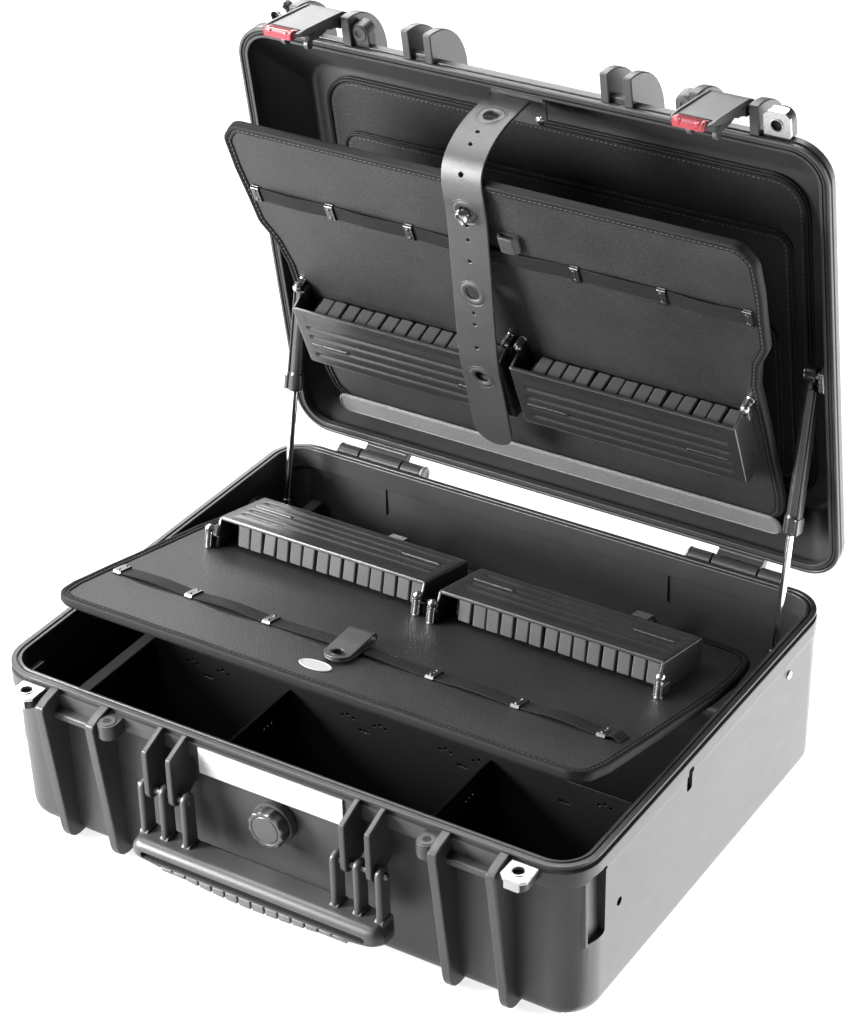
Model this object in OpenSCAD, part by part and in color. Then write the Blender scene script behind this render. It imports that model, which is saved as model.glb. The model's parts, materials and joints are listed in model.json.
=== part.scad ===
// Hard moulded tool case, open, with tool boards in the lid and the base.
// Origin: middle of the flat underside. +Z up, +X to the right, front at -Y.

/* [Case] */
// Width of the rim, left to right
case_w = 520; // [516:1:524]
// Depth of the rim, front to back
case_d = 402; // [400:1:404]
// Height of the base, underside to rim
base_h = 145; // [144:0.5:146]
// Depth of the lid, rim to outer face
lid_h = 58; // [58:0.5:60]
// Corner radius of the rim
corner_r = 32; // [30:1:34]
// Opening angle of the lid on its struts
open_deg = 81.5; // [78:0.5:84]

/* [Fittings] */
// Middle of each latch from the case's middle
latch_x = 176; // [175:0.5:177]
// Angle of the hanging latches from the latched position
latch_rest = 11.5; // [11:0.5:14]
// Middle of each hinge barrel from the case's middle
hinge_x = 171; // [168:1:174]
// Radius of the hinge pins
hinge_pin_r = 3; // [2.8:0.1:3]
// Gas strut tube radius
tube_r = 5.5; // [5:0.1:5.6]

/* [Tool boards] */
// Lean of the lid's tool board out of the lid
upper_lean = 12.8; // [10:0.2:12.8]
// Rise of the base's tool board
lower_lean = 13.06; // [8:0.02:14]
// Thickness of a tool board
board_t = 6; // [5:0.5:6]
// Depth of the tool holders off their board
holder_h = 26; // [22:1:26]

/* [Hidden] */

e = 0.01;
W2 = case_w / 2;
D2 = case_d / 2;
H = base_h;
// lid hinge axis
hy = D2 + 11;
hz = H - 7;
// virtual axis of the lid's board, which hangs on a flexible flap
uay = D2 + 66;
uaz = H - 38.4;
// axis of the base's board
lay = D2 - 15;
laz = H - 83;
// latch axis, latched position
ly = -D2 - 16;
lz = H + 8;
// handle axis
py = -D2 - 16;
pz = 97;
// strut pivots: upper in the closed lid's frame, lower in the base
suy = D2 - 188;
suz = H + 16;
sly = D2 - 49;
slz = H - 45;
sx = 234;
// rest position of the upper strut pivot
ruy = hy + (suy - hy) * cos(open_deg) + (suz - hz) * sin(open_deg);
ruz = hz - (suy - hy) * sin(open_deg) + (suz - hz) * cos(open_deg);
strut_len = sqrt(pow(ruy - sly, 2) + pow(ruz - slz, 2));
// direction of the strut, from +Y towards +Z, seen at rest
strut_a = atan2(slz - ruz, sly - ruy);
black = [0.10, 0.10, 0.105];
grey = [0.30, 0.30, 0.30];
steel = [0.78, 0.78, 0.78];
white = [0.93, 0.93, 0.92];
red = [0.78, 0.08, 0.12];

// ---------- placing ----------
// everything of the lid is drawn in the closed lid's place and swung open here
module in_lid() { translate([0, hy, hz]) rotate([-open_deg, 0, 0]) translate([0, -hy, -hz]) children(); }
// the lid's board is drawn folded flat and leans out of the lid here
module in_upper() { in_lid() translate([0, uay, uaz]) rotate([upper_lean, 0, 0]) translate([0, -uay, -uaz]) children(); }
// the base's board is drawn lying flat and rises here
module in_lower() { translate([0, lay, laz]) rotate([-lower_lean, 0, 0]) translate([0, -lay, -laz]) children(); }
module in_latch(s) { in_lid() translate([0, ly, lz]) rotate([-latch_rest, 0, 0]) translate([0, -ly, -lz]) translate([s * latch_x, 0, 0]) children(); }
// board place: local x across, local v from the hinged side to the free side, local n off the working face
module upper_face() { in_upper() translate([0, D2 + 14, H + 24]) rotate([180, 0, 0]) children(); }
module lower_face() { in_lower() translate([0, D2, H - 35.3]) mirror([0, 1, 0]) children(); }
module both() { children(); mirror([1, 0, 0]) children(); }
// a profile in the Y-Z plane, extruded along X from x0 by t
module slab_x(x0, t) { translate([x0, 0, 0]) rotate([90, 0, 90]) linear_extrude(t) children(); }

// a profile in the X-Z plane, extruded along Y from y0 by t
module slab_y(y0, t) { translate([0, y0 + t, 0]) rotate([90, 0, 0]) linear_extrude(t) children(); }

// ---------- outlines ----------
module rr(w, d, r) {
    union() {
        square([w - 2 * r, d], center = true);
        square([w, d - 2 * r], center = true);
        for (i = [-1, 1], j = [-1, 1]) translate([i * (w / 2 - r), j * (d / 2 - r)]) circle(r, $fn = 64);
    }
}
module ring(w, d, r, t, h) {
    linear_extrude(h) difference() { rr(w, d, r); rr(w - 2 * t, d - 2 * t, max(r - t, 1)); }
}
// rounded block between y0 and y1, for the hulls of the two shells
module disc4(hw, y0, y1, r, z, h, fn = 48) {
    for (i = [-1, 1], y = [y0 + r, y1 - r]) translate([i * (hw - r), y, z]) cylinder(h = h, r = r, $fn = fn);
}
module tor4(hw, y0, y1, r, f, z, fn = 40) {
    for (i = [-1, 1], y = [y0 + r, y1 - r]) translate([i * (hw - r), y, z])
        rotate_extrude($fn = fn) translate([r - f, 0]) circle(f, $fn = 24);
}
// half outlines of the two boards, x and v
up_pts = [[200, 46], [213, 60], [216, 80], [216, 175], [215, 212], [220, 238], [230, 258], [232, 292], [234, 318], [234, 350], [222, 366]];
lo_pts = [[196, 85], [222, 88], [234, 100], [241, 138], [243, 178], [242, 242], [241, 300], [240, 342], [236, 365], [223, 373]];
module outline(p, r, inset = 0) {
    offset(delta = -inset) offset(r = r) offset(delta = -2 * r) offset(r = r)
        polygon(concat(p, [for (i = [len(p) - 1:-1:0]) [-p[i][0], p[i][1]]]));
}

// ---------- base ----------
rib_x = [152, 200];
post_x = [77, 99];
finger_x = [67, 87, 106];
module base_shell() color(black) difference() {
    union() {
        hull() {
            disc4(W2 - 1, -D2 + 5, D2 - 1, corner_r - 2, 130, 9);
            tor4(W2 - 3.5, -D2 + 8, D2 - 4, corner_r - 4, 13, 13);
        }
        // flange under the lip, then the lip
        translate([0, 0, H - 19]) linear_extrude(13) rr(case_w, case_d, corner_r);
        translate([0, 0, H - 6 - e]) linear_extrude(4) rr(case_w - 2.4, case_d - 2.4, corner_r - 1.2);
        translate([0, 0, H - 2]) linear_extrude(2) rr(case_w - 0.8, case_d - 0.8, corner_r - 0.4);
        both() {
            // tapered ribs beside the latches
            for (x = rib_x) slab_x(x - 4, 8)
                polygon([[-D2 + 8, 8], [-D2 - 1, 6], [-D2 - 4, 8], [-D2 - 6, 13], [-D2 - 21, 134], [-D2 - 20, 137], [-D2 - 2, 143], [-D2 + 8, 143]]);
            // keeper bar that the hooks pull on
            translate([rib_x[0], -D2 - 8, H - 24]) cube([rib_x[1] - rib_x[0], 14, 6]);
            // handle and latch posts
            for (x = post_x) slab_x(x - 2.5, 5) union() {
                polygon([[-D2 + 8, 143], [-D2 - 2, 143], [-D2 - 23, 134], [-D2 - 23, 97], [-D2 - 9, 88], [-D2 + 8, 100]]);
                translate([py, pz]) circle(7, $fn = 48);
            }
            // padlock boss and alignment boss
            translate([209, -D2 - 20, H - 15]) cube([18, 24, 9.5]);
            translate([142, -D2 - 10, H - 19]) cylinder(h = 13, r = 8, $fn = 48);
            translate([134, -D2 - 10, H - 19]) cube([18, 14, 13]);
            // hinge knuckles
            for (x = [hinge_x - 41.5, hinge_x + 21.5]) slab_x(x, 20) union() {
                translate([hy, hz]) circle(7.5, $fn = 48);
                polygon([[D2 - 3, 122], [D2 - 3, 138], [D2 + 5, 139], [hy, hz], [D2 + 17, 135], [D2 + 14, 131.5]]);
            }
            // wall pads behind the side recesses
            translate([W2 - 13, -D2 + 14, 62]) cube([9, 32, 72]);
            translate([W2 - 11, -42, 106]) cube([7, 14, 30]);
            translate([W2 - 12, -140, 81]) rotate([0, 90, 0]) cylinder(h = 8, r = 8, $fn = 32);
        }
        // pad behind the label
        translate([-68, -D2, 112]) cube([136, 8, 27]);
    }
    // inside
    difference() {
        hull() {
            disc4(W2 - 5, -D2 + 10, D2 - 5, corner_r - 9, 128, H, fn = 48);
            disc4(W2 - 8, -D2 + 13, D2 - 8, corner_r - 10, 4, 1, fn = 48);
        }
        // lip overhang at the top
        translate([0, 0, H - 19]) difference() {
            linear_extrude(25) rr(case_w + 10, case_d + 10, corner_r);
            translate([0, 0, -1]) linear_extrude(30) rr(case_w - 18, case_d - 18, corner_r - 9);
        }
        both() {
            translate([W2 - 13, -D2 + 14, 62]) cube([20, 32, 72]);
            translate([W2 - 11, -42, 106]) cube([20, 14, 30]);
            translate([W2 - 12, -140, 81]) rotate([0, 90, 0]) cylinder(h = 20, r = 8, $fn = 32);
        }
    }
    // groove in the rim, with a rounded floor
    translate([0, 0, H - 1.6]) ring(case_w - 9.4, case_d - 9.4, corner_r - 4.7, 1.8, 3);
    // slots in the back wall
    for (x = [-156, 119]) translate([x - 2, D2 - 6.6, 98]) cube([4, 3, 36]);
    both() {
        // side recesses, blind hole
        translate([W2 - 9, -D2 + 20, 68]) cube([12, 20, 62]);
        translate([W2 - 8, -39, 111]) cube([12, 8, 21]);
        translate([W2 - 8, -140, 81]) rotate([0, 90, 0]) cylinder(h = 12, r = 3.6, $fn = 32);
        // bores
        translate([60, py, pz]) rotate([0, 90, 0]) cylinder(h = 60, r = 3, $fn = 48);
        translate([hinge_x - 60, hy, hz]) rotate([0, 90, 0]) cylinder(h = 120, r = hinge_pin_r, $fn = 48);
        translate([218, -D2 - 11.5, H - 30]) cylinder(h = 40, r = 4.5, $fn = 48);
        translate([142, -D2 - 10, H - 30]) cylinder(h = 40, r = 3.2, $fn = 48);
        translate([W2 - 20, 131, 113.6]) rotate([0, 90, 0]) cylinder(h = 30, r = 2.5, $fn = 32);
    }
    // valve seat
    translate([0, -D2 - 10, 92]) rotate([-90, 0, 0]) cylinder(h = 30, r = 9, $fn = 64);
}

module padlock_plate() {
    difference() {
        union() {
            translate([207, -D2 - 22.5, 0]) cube([22, 21, 2.5]);
            translate([211, -D2 - 22.5, -7]) cube([14, 2.5, 9.5]);
        }
        translate([218, -D2 - 11.5, -5]) cylinder(h = 20, r = 4.5, $fn = 48);
        for (x = [207, 229]) translate([x, -D2 - 22.5, -20]) rotate([0, 0, 45]) cube([5, 5, 60], center = true);
    }
}
module base_corner_plates() color(steel) both() translate([0, 0, H - 5.5]) padlock_plate();

module label_plate() color(white) translate([-64.5, -D2 - 2, 115]) cube([129, 2, 23]);

module valve_body() color(black) translate([0, -D2 + 5.3, 92]) rotate([90, 0, 0]) difference() {
    union() {
        cylinder(h = 7, r = 17.5, $fn = 64);
        translate([0, 0, -7]) cylinder(h = 7.1, r = 9, $fn = 64);
    }
    translate([0, 0, 1]) cylinder(h = 20, r = 6.06, $fn = 48);
}
module valve_knob() color(black) translate([0, -D2 - 2.2, 92]) rotate([90, 0, 0]) {
    difference() {
        cylinder(h = 9, r = 16.5, $fn = 64);
        for (a = [0:30:330]) rotate([0, 0, a]) translate([18.6, 0, -1]) cylinder(h = 20, r = 3.6, $fn = 24);
        translate([0, 0, 8]) difference() { cylinder(h = 5, r = 11.5, $fn = 48); cylinder(h = 12, r = 9.5, $fn = 48, center = true); }
    }
    translate([0, 0, -5.5]) cylinder(h = 5.6, r = 6, $fn = 48);
}

// ---------- handle ----------
module handle() color(black) difference() {
    union() {
        intersection() {
            translate([0, -D2 - 20.5, 20]) linear_extrude(45) rr(228, 29, 12);
            translate([0, -D2 - 5, 0]) rotate([90, 0, 0]) linear_extrude(40)
                polygon(concat([[-114, 48], [-108, 57], [108, 57], [114, 48]],
                    [for (i = [0:16]) let (x = 114 - i * 228 / 16) [x, 43.5 - 10.5 * cos(x * 90 / 114)]]));
        }
        both() for (x = finger_x) slab_x(x - 2.75, 5.5) union() {
            translate([py, pz]) circle(7, $fn = 48);
            polygon([[py - 7, pz], [py + 7, pz], [py + 7, 50], [py - 7, 50]]);
        }
    }
    both() translate([60, py, pz]) rotate([0, 90, 0]) cylinder(h = 60, r = 3.06, $fn = 48);
    // long slot over the grip, and the seat of the grip strip
    translate([-101, -D2 - 40, 43.8]) cube([202, 14, 5.8]);
    translate([-84, -D2 - 40, 20]) cube([168, 14, 22.5]);
}
module handle_grip() color([0.16, 0.16, 0.165]) difference() {
    intersection() {
        translate([-83.8, -D2 - 35, 20]) cube([167.6, 8.9, 22.3]);
        translate([0, -D2 - 5, 0]) rotate([90, 0, 0]) linear_extrude(40)
            polygon(concat([[-114, 60], [114, 60]],
                [for (i = [0:16]) let (x = 114 - i * 228 / 16) [x, 43.7 - 10.5 * cos(x * 90 / 114)]]));
    }
    for (i = [-6:6]) translate([i * 12 - 0.8, -D2 - 36, 10]) cube([1.6, 2.6, 40]);
}
module handle_pins() color(steel) both() translate([63.5, py, pz]) rotate([0, 90, 0]) cylinder(h = 48.5, r = 3, $fn = 48);

// ---------- hinge hardware ----------
module hinge_pins() color(steel) both() translate([hinge_x - 41.5, hy, hz]) rotate([0, 90, 0]) cylinder(h = 83, r = hinge_pin_r, $fn = 48);
module hinge_caps() color([0.62, 0.62, 0.62]) both() for (x = [hinge_x - 44.5, hinge_x + 41.5])
    translate([x, hy, hz]) rotate([0, 90, 0]) cylinder(h = 3, r = 7.9, $fn = 48);

// ---------- inside the base ----------
module strut_base_brackets() color(steel) both() {
    difference() {
        slab_x(W2 - 8.6, 2.5) hull() { translate([sly, slz]) circle(8, $fn = 32); translate([131, 113.6]) circle(7, $fn = 32); }
    }
    translate([sx + 4.6, sly, slz]) rotate([0, 90, 0]) cylinder(h = W2 - 8.5 - sx - 4.6, r = 4, $fn = 48);
    translate([W2 - 8.2, 131, 113.6]) rotate([0, 90, 0]) cylinder(h = 8.2, r = 2.5, $fn = 32);
    translate([W2 - 1.1, 131, 113.6]) rotate([0, 90, 0]) cylinder(h = 1.4, r = 3.6, $fn = 32);
}
module divider_side() color(grey) slab_y(-186, 372) polygon([[-218, 5.5], [-218, 98], [-229, 98], [-229, 95.5], [-220.5, 95.5], [-220.5, 5.5]]);
module divider_long() color(black) difference() {
    translate([-217.5, -57.5, 5.5]) cube([465, 3, 94.5]);
    for (x = [-180, -150, -30, 0, 60, 90, 200]) for (i = [-5, 0, 5]) translate([x + i, -60, 88]) rotate([-90, 0, 0]) cylinder(h = 8, r = 1.2, $fn = 16);
}
module dividers_cross() color(black) for (x = [-85, 100]) translate([x - 1.5, -186, 5.5]) cube([3, 128.2, 90]);
module board_hinge_brackets() color(steel) both() {
    difference() {
        union() {
            translate([104, D2 - 9.2, laz - 14]) cube([28, 2, 20]);
            for (x = [106, 127]) slab_x(x, 3) union() { translate([lay, laz]) circle(5.5, $fn = 32); translate([lay, laz - 5.5]) square([D2 - 8.5 - lay, 11]); }
        }
        translate([100, lay, laz]) rotate([0, 90, 0]) cylinder(h = 40, r = 2.5, $fn = 32);
    }
    translate([104, lay, laz]) rotate([0, 90, 0]) cylinder(h = 28, r = 2.5, $fn = 32);
}

// ---------- lid, drawn closed ----------
module lid_shell() color(black) in_lid() difference() {
    union() {
        hull() {
            disc4(W2 - 2, -D2 + 2, D2 - 2, corner_r - 2, H + 12, 1);
            tor4(W2 - 23, -D2 + 51, D2 - 16, 30, 12, H + lid_h - 12);
        }
        translate([0, 0, H]) linear_extrude(3) rr(case_w - 0.8, case_d - 0.8, corner_r - 0.4);
        translate([0, 0, H + 3]) linear_extrude(3 + e) rr(case_w - 2.4, case_d - 2.4, corner_r - 1.2);
        translate([0, 0, H + 6]) linear_extrude(6.5) rr(case_w - 2, case_d - 2, corner_r - 1);
        both() {
            for (x = [post_x[0], post_x[1] - 2]) slab_x(x - 3.5, 7) intersection() {
                translate([-D2 + 24, H + 2]) circle(48, $fn = 96);
                translate([-D2 - 30, H + 2]) square([70, 60]);
            }
            for (x = rib_x) slab_x(x - 4, 8) intersection() {
                translate([-D2 + 24, H + 2]) circle(48, $fn = 96);
                translate([-D2 - 30, H + 2]) square([70, 60]);
            }
            translate([209, -D2 - 20, H + 5.5]) cube([18, 26, 13]);
            translate([142, -D2 - 10, H + 6]) cylinder(h = 12, r = 8, $fn = 48);
            translate([134, -D2 - 10, H + 6]) cube([18, 16, 12]);
            // hinge knuckle
            slab_x(hinge_x - 20.5, 41) union() {
                translate([hy, hz]) circle(7.5, $fn = 48);
                polygon([[D2 - 3, H + 2], [D2 - 3, H + 12], [D2 + 7, H + 11], [D2 + 18, H - 3], [hy, hz], [D2 + 5, H - 3], [D2 + 3, H + 2]]);
            }
        }
        // outside ribs on the top face
        for (x = [-150, -75, 75, 150]) translate([x - 6, -110, H + lid_h - 2]) cube([12, 250, 3.5]);
    }
    // inside, with the lip overhang
    difference() {
        hull() {
            disc4(W2 - 6, -D2 + 6, D2 - 6, corner_r - 6, H - 1, 14);
            disc4(W2 - 27, -D2 + 55, D2 - 20, 24, H + lid_h - 5, 1);
        }
        translate([0, 0, H - 5]) difference() {
            linear_extrude(11) rr(case_w + 10, case_d + 10, corner_r);
            translate([0, 0, -1]) linear_extrude(30) rr(case_w - 18, case_d - 18, corner_r - 9);
        }
    }
    translate([0, 0, H - 1]) ring(case_w - 6, case_d - 6, corner_r - 3, 3.4, 4.4);
    both() {
        translate([hinge_x - 60, hy, hz]) rotate([0, 90, 0]) cylinder(h = 120, r = hinge_pin_r + 0.06, $fn = 48);
        translate([145, ly, lz]) rotate([0, 90, 0]) cylinder(h = 62, r = 2.5, $fn = 48);
        translate([218, -D2 - 11.5, H]) cylinder(h = 40, r = 4.5, $fn = 48);
        translate([142, -D2 - 10, H]) cylinder(h = 40, r = 3.2, $fn = 48);
    }
}
module lid_seal() color([0.05, 0.05, 0.05]) in_lid() translate([0, 0, H + 0.4]) ring(case_w - 6.6, case_d - 6.6, corner_r - 3.3, 2.8, 3);
module lid_corner_plates() color(steel) in_lid() both() translate([0, 0, 2 * H + 5.5]) mirror([0, 0, 1]) translate([0, 0, H]) padlock_plate();
module latch_pins() color(steel) in_lid() both() translate([148.5, ly, lz]) rotate([0, 90, 0]) cylinder(h = 55, r = 2.5, $fn = 48);
module strut_lid_brackets() color(steel) in_lid() both() {
    translate([W2 - 13, suy - 9, H + 7]) cube([4, 18, 5]);
    translate([W2 - 18, suy - 9, H + 7]) cube([5, 18, 17]);
    translate([sx - 7, suy, suz]) rotate([0, 90, 0]) cylinder(h = W2 - 17 - sx + 7, r = 3, $fn = 48);
}
module vplate(hw, v0, v1, r, w0, t) { translate([0, D2 - (v0 + v1) / 2, H + w0]) linear_extrude(t) rr(2 * hw, v1 - v0, r); }
module document_panel() color([0.07, 0.07, 0.07]) in_lid() difference() {
    vplate(218, 32, 338, 30, lid_h - 7.3, 3.2);
    vplate(206, 44, 326, 20, lid_h - 7.4, 1.1);
}
module document_pocket() color([0.09, 0.09, 0.09]) in_lid() difference() {
    vplate(204, 46, 288, 16, lid_h - 9.6, 3.3);
    vplate(197, 53, 281, 10, lid_h - 9.7, 0.9);
}
module card_pocket() color([0.09, 0.09, 0.09]) in_lid() vplate(190, 56, 200, 12, lid_h - 11.3, 2.5);
module strap_bracket() color(black) in_lid() translate([-3, 0, 0]) difference() {
    union() {
        translate([-23, -D2 + 9.2, H + 6.3]) cube([46, 8, 5.5]);
        translate([-23, -D2 + 11, H + 9.3]) cube([46, 29, 2.5]);
    }
    for (x = [-17, 17]) translate([x, -D2 + 35, H]) cylinder(h = 30, r = 2, $fn = 24);
}
module strap_rivets() color(steel) in_lid() translate([-3, 0, 0]) for (x = [-17, 17]) {
    translate([x, -D2 + 35, H + 9]) cylinder(h = 3, r = 2, $fn = 24);
    translate([x, -D2 + 35, H + 7.6]) cylinder(h = 1.7, r = 4.2, $fn = 32);
}

// ---------- latches, drawn latched ----------
module latch() {
    difference() {
        union() {
            // lever plate with a swept outer face
            slab_x(-17.5, 35) polygon([[ly - 7, lz + 8], [ly - 4.5, lz + 11], [ly - 2, lz + 8], [ly - 3, lz - 8], [ly - 3.6, lz - 56],
                [ly - 4, lz - 60], [ly - 6.6, lz - 60], [ly - 7.2, lz - 56]]);
            slab_x(-17.5, 35) translate([ly, lz]) circle(5.5, $fn = 48);
            // stiffening cheeks
            for (x = [-17.5, 14.5]) slab_x(x, 3) polygon([[ly - 4, lz + 4], [ly + 3.5, lz + 3], [ly + 3.5, lz - 5], [ly - 1, lz - 22], [ly - 3.4, lz - 50], [ly - 5, lz - 50]]);
            // curved hooks
            for (x = [-12.5, 8.5]) slab_x(x, 4) polygon([[ly - 3.6, lz - 6], [ly + 1.5, lz - 9], [ly + 5, lz - 16], [ly + 6.6, lz - 24], [ly + 6.8, lz - 32.6],
                [ly + 12.5, lz - 32.6], [ly + 12.5, lz - 35.5], [ly + 10.5, lz - 39], [ly + 5.5, lz - 41], [ly + 2, lz - 38], [ly + 1, lz - 30], [ly - 0.5, lz - 20], [ly - 4, lz - 15]]);
        }
        translate([-30, ly, lz]) rotate([0, 90, 0]) cylinder(h = 60, r = 2.56, $fn = 48);
        translate([-13.3, ly - 12, lz - 70]) cube([26.6, 14, 21]);
        for (x = [-17.5, 17.5]) translate([x, ly - 6, lz - 61]) rotate([0, 45, 0]) cube([5, 20, 5], center = true);
    }
}
module latch_button() {
    translate([-13, ly - 9.2, lz - 63]) cube([26, 7.6, 9]);
    translate([-13, ly - 8, lz - 54.1]) cube([26, 4, 1.9]);
}
module latch_left() color([0.35, 0.35, 0.35]) in_latch(-1) latch();
module latch_right() color([0.35, 0.35, 0.35]) in_latch(1) latch();
module latch_button_left() color(red) in_latch(-1) latch_button();
module latch_button_right() color(red) in_latch(1) latch_button();

// ---------- gas struts ----------
module strut_place(s) { translate([s * sx, ruy, ruz]) rotate([strut_a, 0, 0]) rotate([-90, 0, 0]) children(); }
// local z now runs from the upper pivot to the lower one
module strut_tube(s) color(black) strut_place(s) difference() {
    union() {
        rotate([0, 90, 0]) translate([0, 0, -4]) cylinder(h = 8, r = 6.5, $fn = 48);
        translate([-2.5, -4.5, 0]) cube([5, 9, 14]);
        translate([0, 0, 10]) cylinder(h = 119, r = tube_r, $fn = 48);
        translate([0, 0, 116]) cylinder(h = 15, r = tube_r + 1.2, $fn = 48);
    }
    translate([-10, 0, 0]) rotate([0, 90, 0]) cylinder(h = 20, r = 3.06, $fn = 48);
    translate([0, 0, 16]) cylinder(h = 130, r = 3, $fn = 48);
}
module strut_rod(s) color(steel) strut_place(s) {
    translate([0, 0, 112]) cylinder(h = strut_len - 112 - 4, r = 2.92, $fn = 48);
    translate([0, 0, strut_len - 14]) cylinder(h = 9, r = 4.2, $fn = 32);
    translate([0, 0, strut_len]) rotate([0, 90, 0]) translate([0, 0, -4]) cylinder(h = 8, r = 5.5, $fn = 48);
}
module strut_tube_left() strut_tube(-1);
module strut_tube_right() strut_tube(1);
module strut_rod_left() strut_rod(-1);
module strut_rod_right() strut_rod(1);

// ---------- tool boards ----------
module board(p, r) { translate([0, 0, -board_t]) linear_extrude(board_t) outline(p, r, 3.2); }
module binding(p, r) {
    translate([0, 0, -board_t - 1]) linear_extrude(board_t + 2) difference() { outline(p, r); outline(p, r, 3.15); }
    translate([0, 0, 0.02]) linear_extrude(0.98) difference() { outline(p, r, 3); outline(p, r, 7); }
}
module elastic(hx, v) { translate([-hx, v - 7, 0.1]) cube([2 * hx, 14, 1.4]); }
module clips(v, xs) { for (x = xs) translate([x - 4, v - 9, 0.1]) difference() { cube([8, 18, 3]); translate([-1, 1.7, -1]) cube([10, 14.6, 2.6]); } }
module holder(x0, v0) { translate([x0, v0, 0.1]) difference() {
    union() {
        slab_x(0, 199) polygon([[0, 0], [71, 0], [71, 8], [66, holder_h - 0.1], [4, holder_h - 0.1], [0, holder_h - 5]]);
        for (x = [-3.9, 194.9]) translate([x, 60, 0]) cube([8, 11, 10]);
    }
    slab_x(3, 193) polygon([[3, 3], [80, 3], [80, holder_h - 3], [6, holder_h - 3], [3, holder_h - 6]]);
    for (v = [12, 23, 34, 45]) translate([10, v, holder_h - 1.3]) cube([179, 3, 3]);
} }
module comb(x0, v0) { translate([x0 + 3.3, v0 + 36, 3.2]) difference() {
    cube([192.4, 27, holder_h - 6.5]);
    for (i = [1:14]) translate([i * 192.4 / 15 - 0.6, 4, -1]) cube([1.2, 30, 40]);
} }
hold_v_up = 120.5;
hold_v_lo = 132.5;
module posts(v, h) { posts_at(v, h, [-205, -5.7, 5.7, 205]); }
module posts_at(v, h, xs) { for (x = xs) translate([x, v, 0.1]) {
    cylinder(h = h - 3, r = 3, $fn = 32);
    translate([0, 0, h - 3.1]) cylinder(h = 3, r = 3.8, $fn = 32);
} }
module upper_board() color(grey) upper_face() board(up_pts, 14);
module upper_binding() color(black) upper_face() binding(up_pts, 14);
module upper_elastic() color(black) upper_face() elastic(222, 291.7);
module upper_clips() color(steel) upper_face() clips(291.7, [-219, -148, -74, 74, 148, 219]);
module upper_loop() color(grey) upper_face() translate([12, 303, 0.1]) difference() { cube([18, 16, 7.6]); translate([2, -1, 1.8]) cube([14, 18, 4]); }
module upper_holders() color(black) upper_face() { holder(4.2, hold_v_up); mirror([1, 0, 0]) holder(4.2, hold_v_up); }
module upper_combs() color([0.2, 0.2, 0.2]) upper_face() { comb(4.2, hold_v_up); mirror([1, 0, 0]) comb(4.2, hold_v_up); }
module upper_screws() color(steel) upper_face() posts(hold_v_up + 74.5, 13);
// grey strip over the board's lower edge, and the gusset that carries it from the panel
module upper_flap() color([0.4, 0.4, 0.4]) upper_face() translate([0, 45, 1.3]) linear_extrude(2.4) rr(420, 22, 9);
module flap_gusset() color([0.2, 0.2, 0.2]) in_lid() slab_x(-205, 410)
    polygon([[D2 - 33, H + 3.4], [D2 - 31, H + 3.4], [D2 - 31, H + lid_h - 7.6], [D2 - 33, H + lid_h - 7.6]]);
// strap: the front part lies on the board, the arc joins it to the bracket
module strap_line() { translate([-8, 340, 0]) rotate([0, 0, -5]) children(); }
strap_w = 35.5;
module strap_front() color(grey) upper_face() strap_line() difference() {
    union() {
        slab_x(-strap_w / 2, strap_w) polygon([[-238, holder_h + 0.6], [-148, holder_h + 0.6], [-2, 5], [12, 5], [12, 7.5], [-1, 7.5], [-147, holder_h + 3.1], [-238, holder_h + 3.1]]);
        translate([0, -238, holder_h + 0.6]) cylinder(h = 2.5, r = strap_w / 2, $fn = 64);
    }
    translate([0, 0, -1]) cylinder(h = 40, r = 5.2, $fn = 32);
    for (v = [-170, -81]) translate([0, v, 0]) cylinder(h = 60, r = 5, $fn = 32);
    for (v = [-137, -113, -101, -49, -28, -14]) translate([0, v, 0]) cylinder(h = 40, r = 1.6, $fn = 16);
}
module strap_arc() color(grey) in_lid() slab_x(-26, strap_w)
    polygon([[-D2 + 16, H + 6], [-D2 + 16, H - 30], [-D2 + 20, H - 54], [-D2 + 31, H - 72], [-D2 + 43, H - 77.5], [-D2 + 54.6, H - 75.4], [-D2 + 54.1, H - 73], [-D2 + 43, H - 75],
        [-D2 + 32.5, H - 70], [-D2 + 22, H - 53], [-D2 + 18.5, H - 30], [-D2 + 18.5, H + 6]]);
module strap_eyelets() color([0.3, 0.3, 0.3]) upper_face() strap_line()
    translate([0, -170, holder_h + 3.2]) difference() {
        cylinder(h = 0.9, r = 10, $fn = 48);
        translate([0, 0, -1]) cylinder(h = 5, r = 5, $fn = 32);
    }
module turn_lock_base() color(steel) upper_face() translate([-8, 340, 0.1]) { cylinder(h = 4.4, r = 8, $fn = 48); cylinder(h = 9, r = 3, $fn = 32); }
module turn_lock_knob() color(steel) upper_face() translate([-8, 340, 9.2]) {
    cylinder(h = 3, r = 4.6, $fn = 32);
    translate([-2.2, -8, 2.9]) cube([4.4, 16, 5]);
}

module lower_board() color(grey) lower_face() board(lo_pts, 14);
module lower_binding() color(black) lower_face() binding(lo_pts, 14);
module lower_elastic() color(black) lower_face() elastic(228, 298);
module lower_clips() color(steel) lower_face() clips(298, [-226, -156, -82, 66, 140, 212]);
module lower_tab() color(grey) lower_face() translate([-6, 302, 1.7]) rotate([0, 0, -4]) difference() {
    union() { translate([-11, -20, 0]) cube([22, 40, 2]); translate([0, 20, 0]) cylinder(h = 2, r = 11, $fn = 48); translate([-11, -20, 2]) cube([22, 3, 5]); translate([-11, -20, 5.6]) cube([22, 30, 2]); }
    translate([0, 20, -1]) cylinder(h = 20, r = 5, $fn = 32);
}
module lower_badge() color(white) lower_face() translate([-10, 344, 0.1]) intersection() {
    cylinder(h = 0.9, r = 14, $fn = 64);
    translate([0, -12, -1]) cylinder(h = 5, r = 20, $fn = 64);
    translate([0, 12, -1]) cylinder(h = 5, r = 20, $fn = 64);
}
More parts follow.
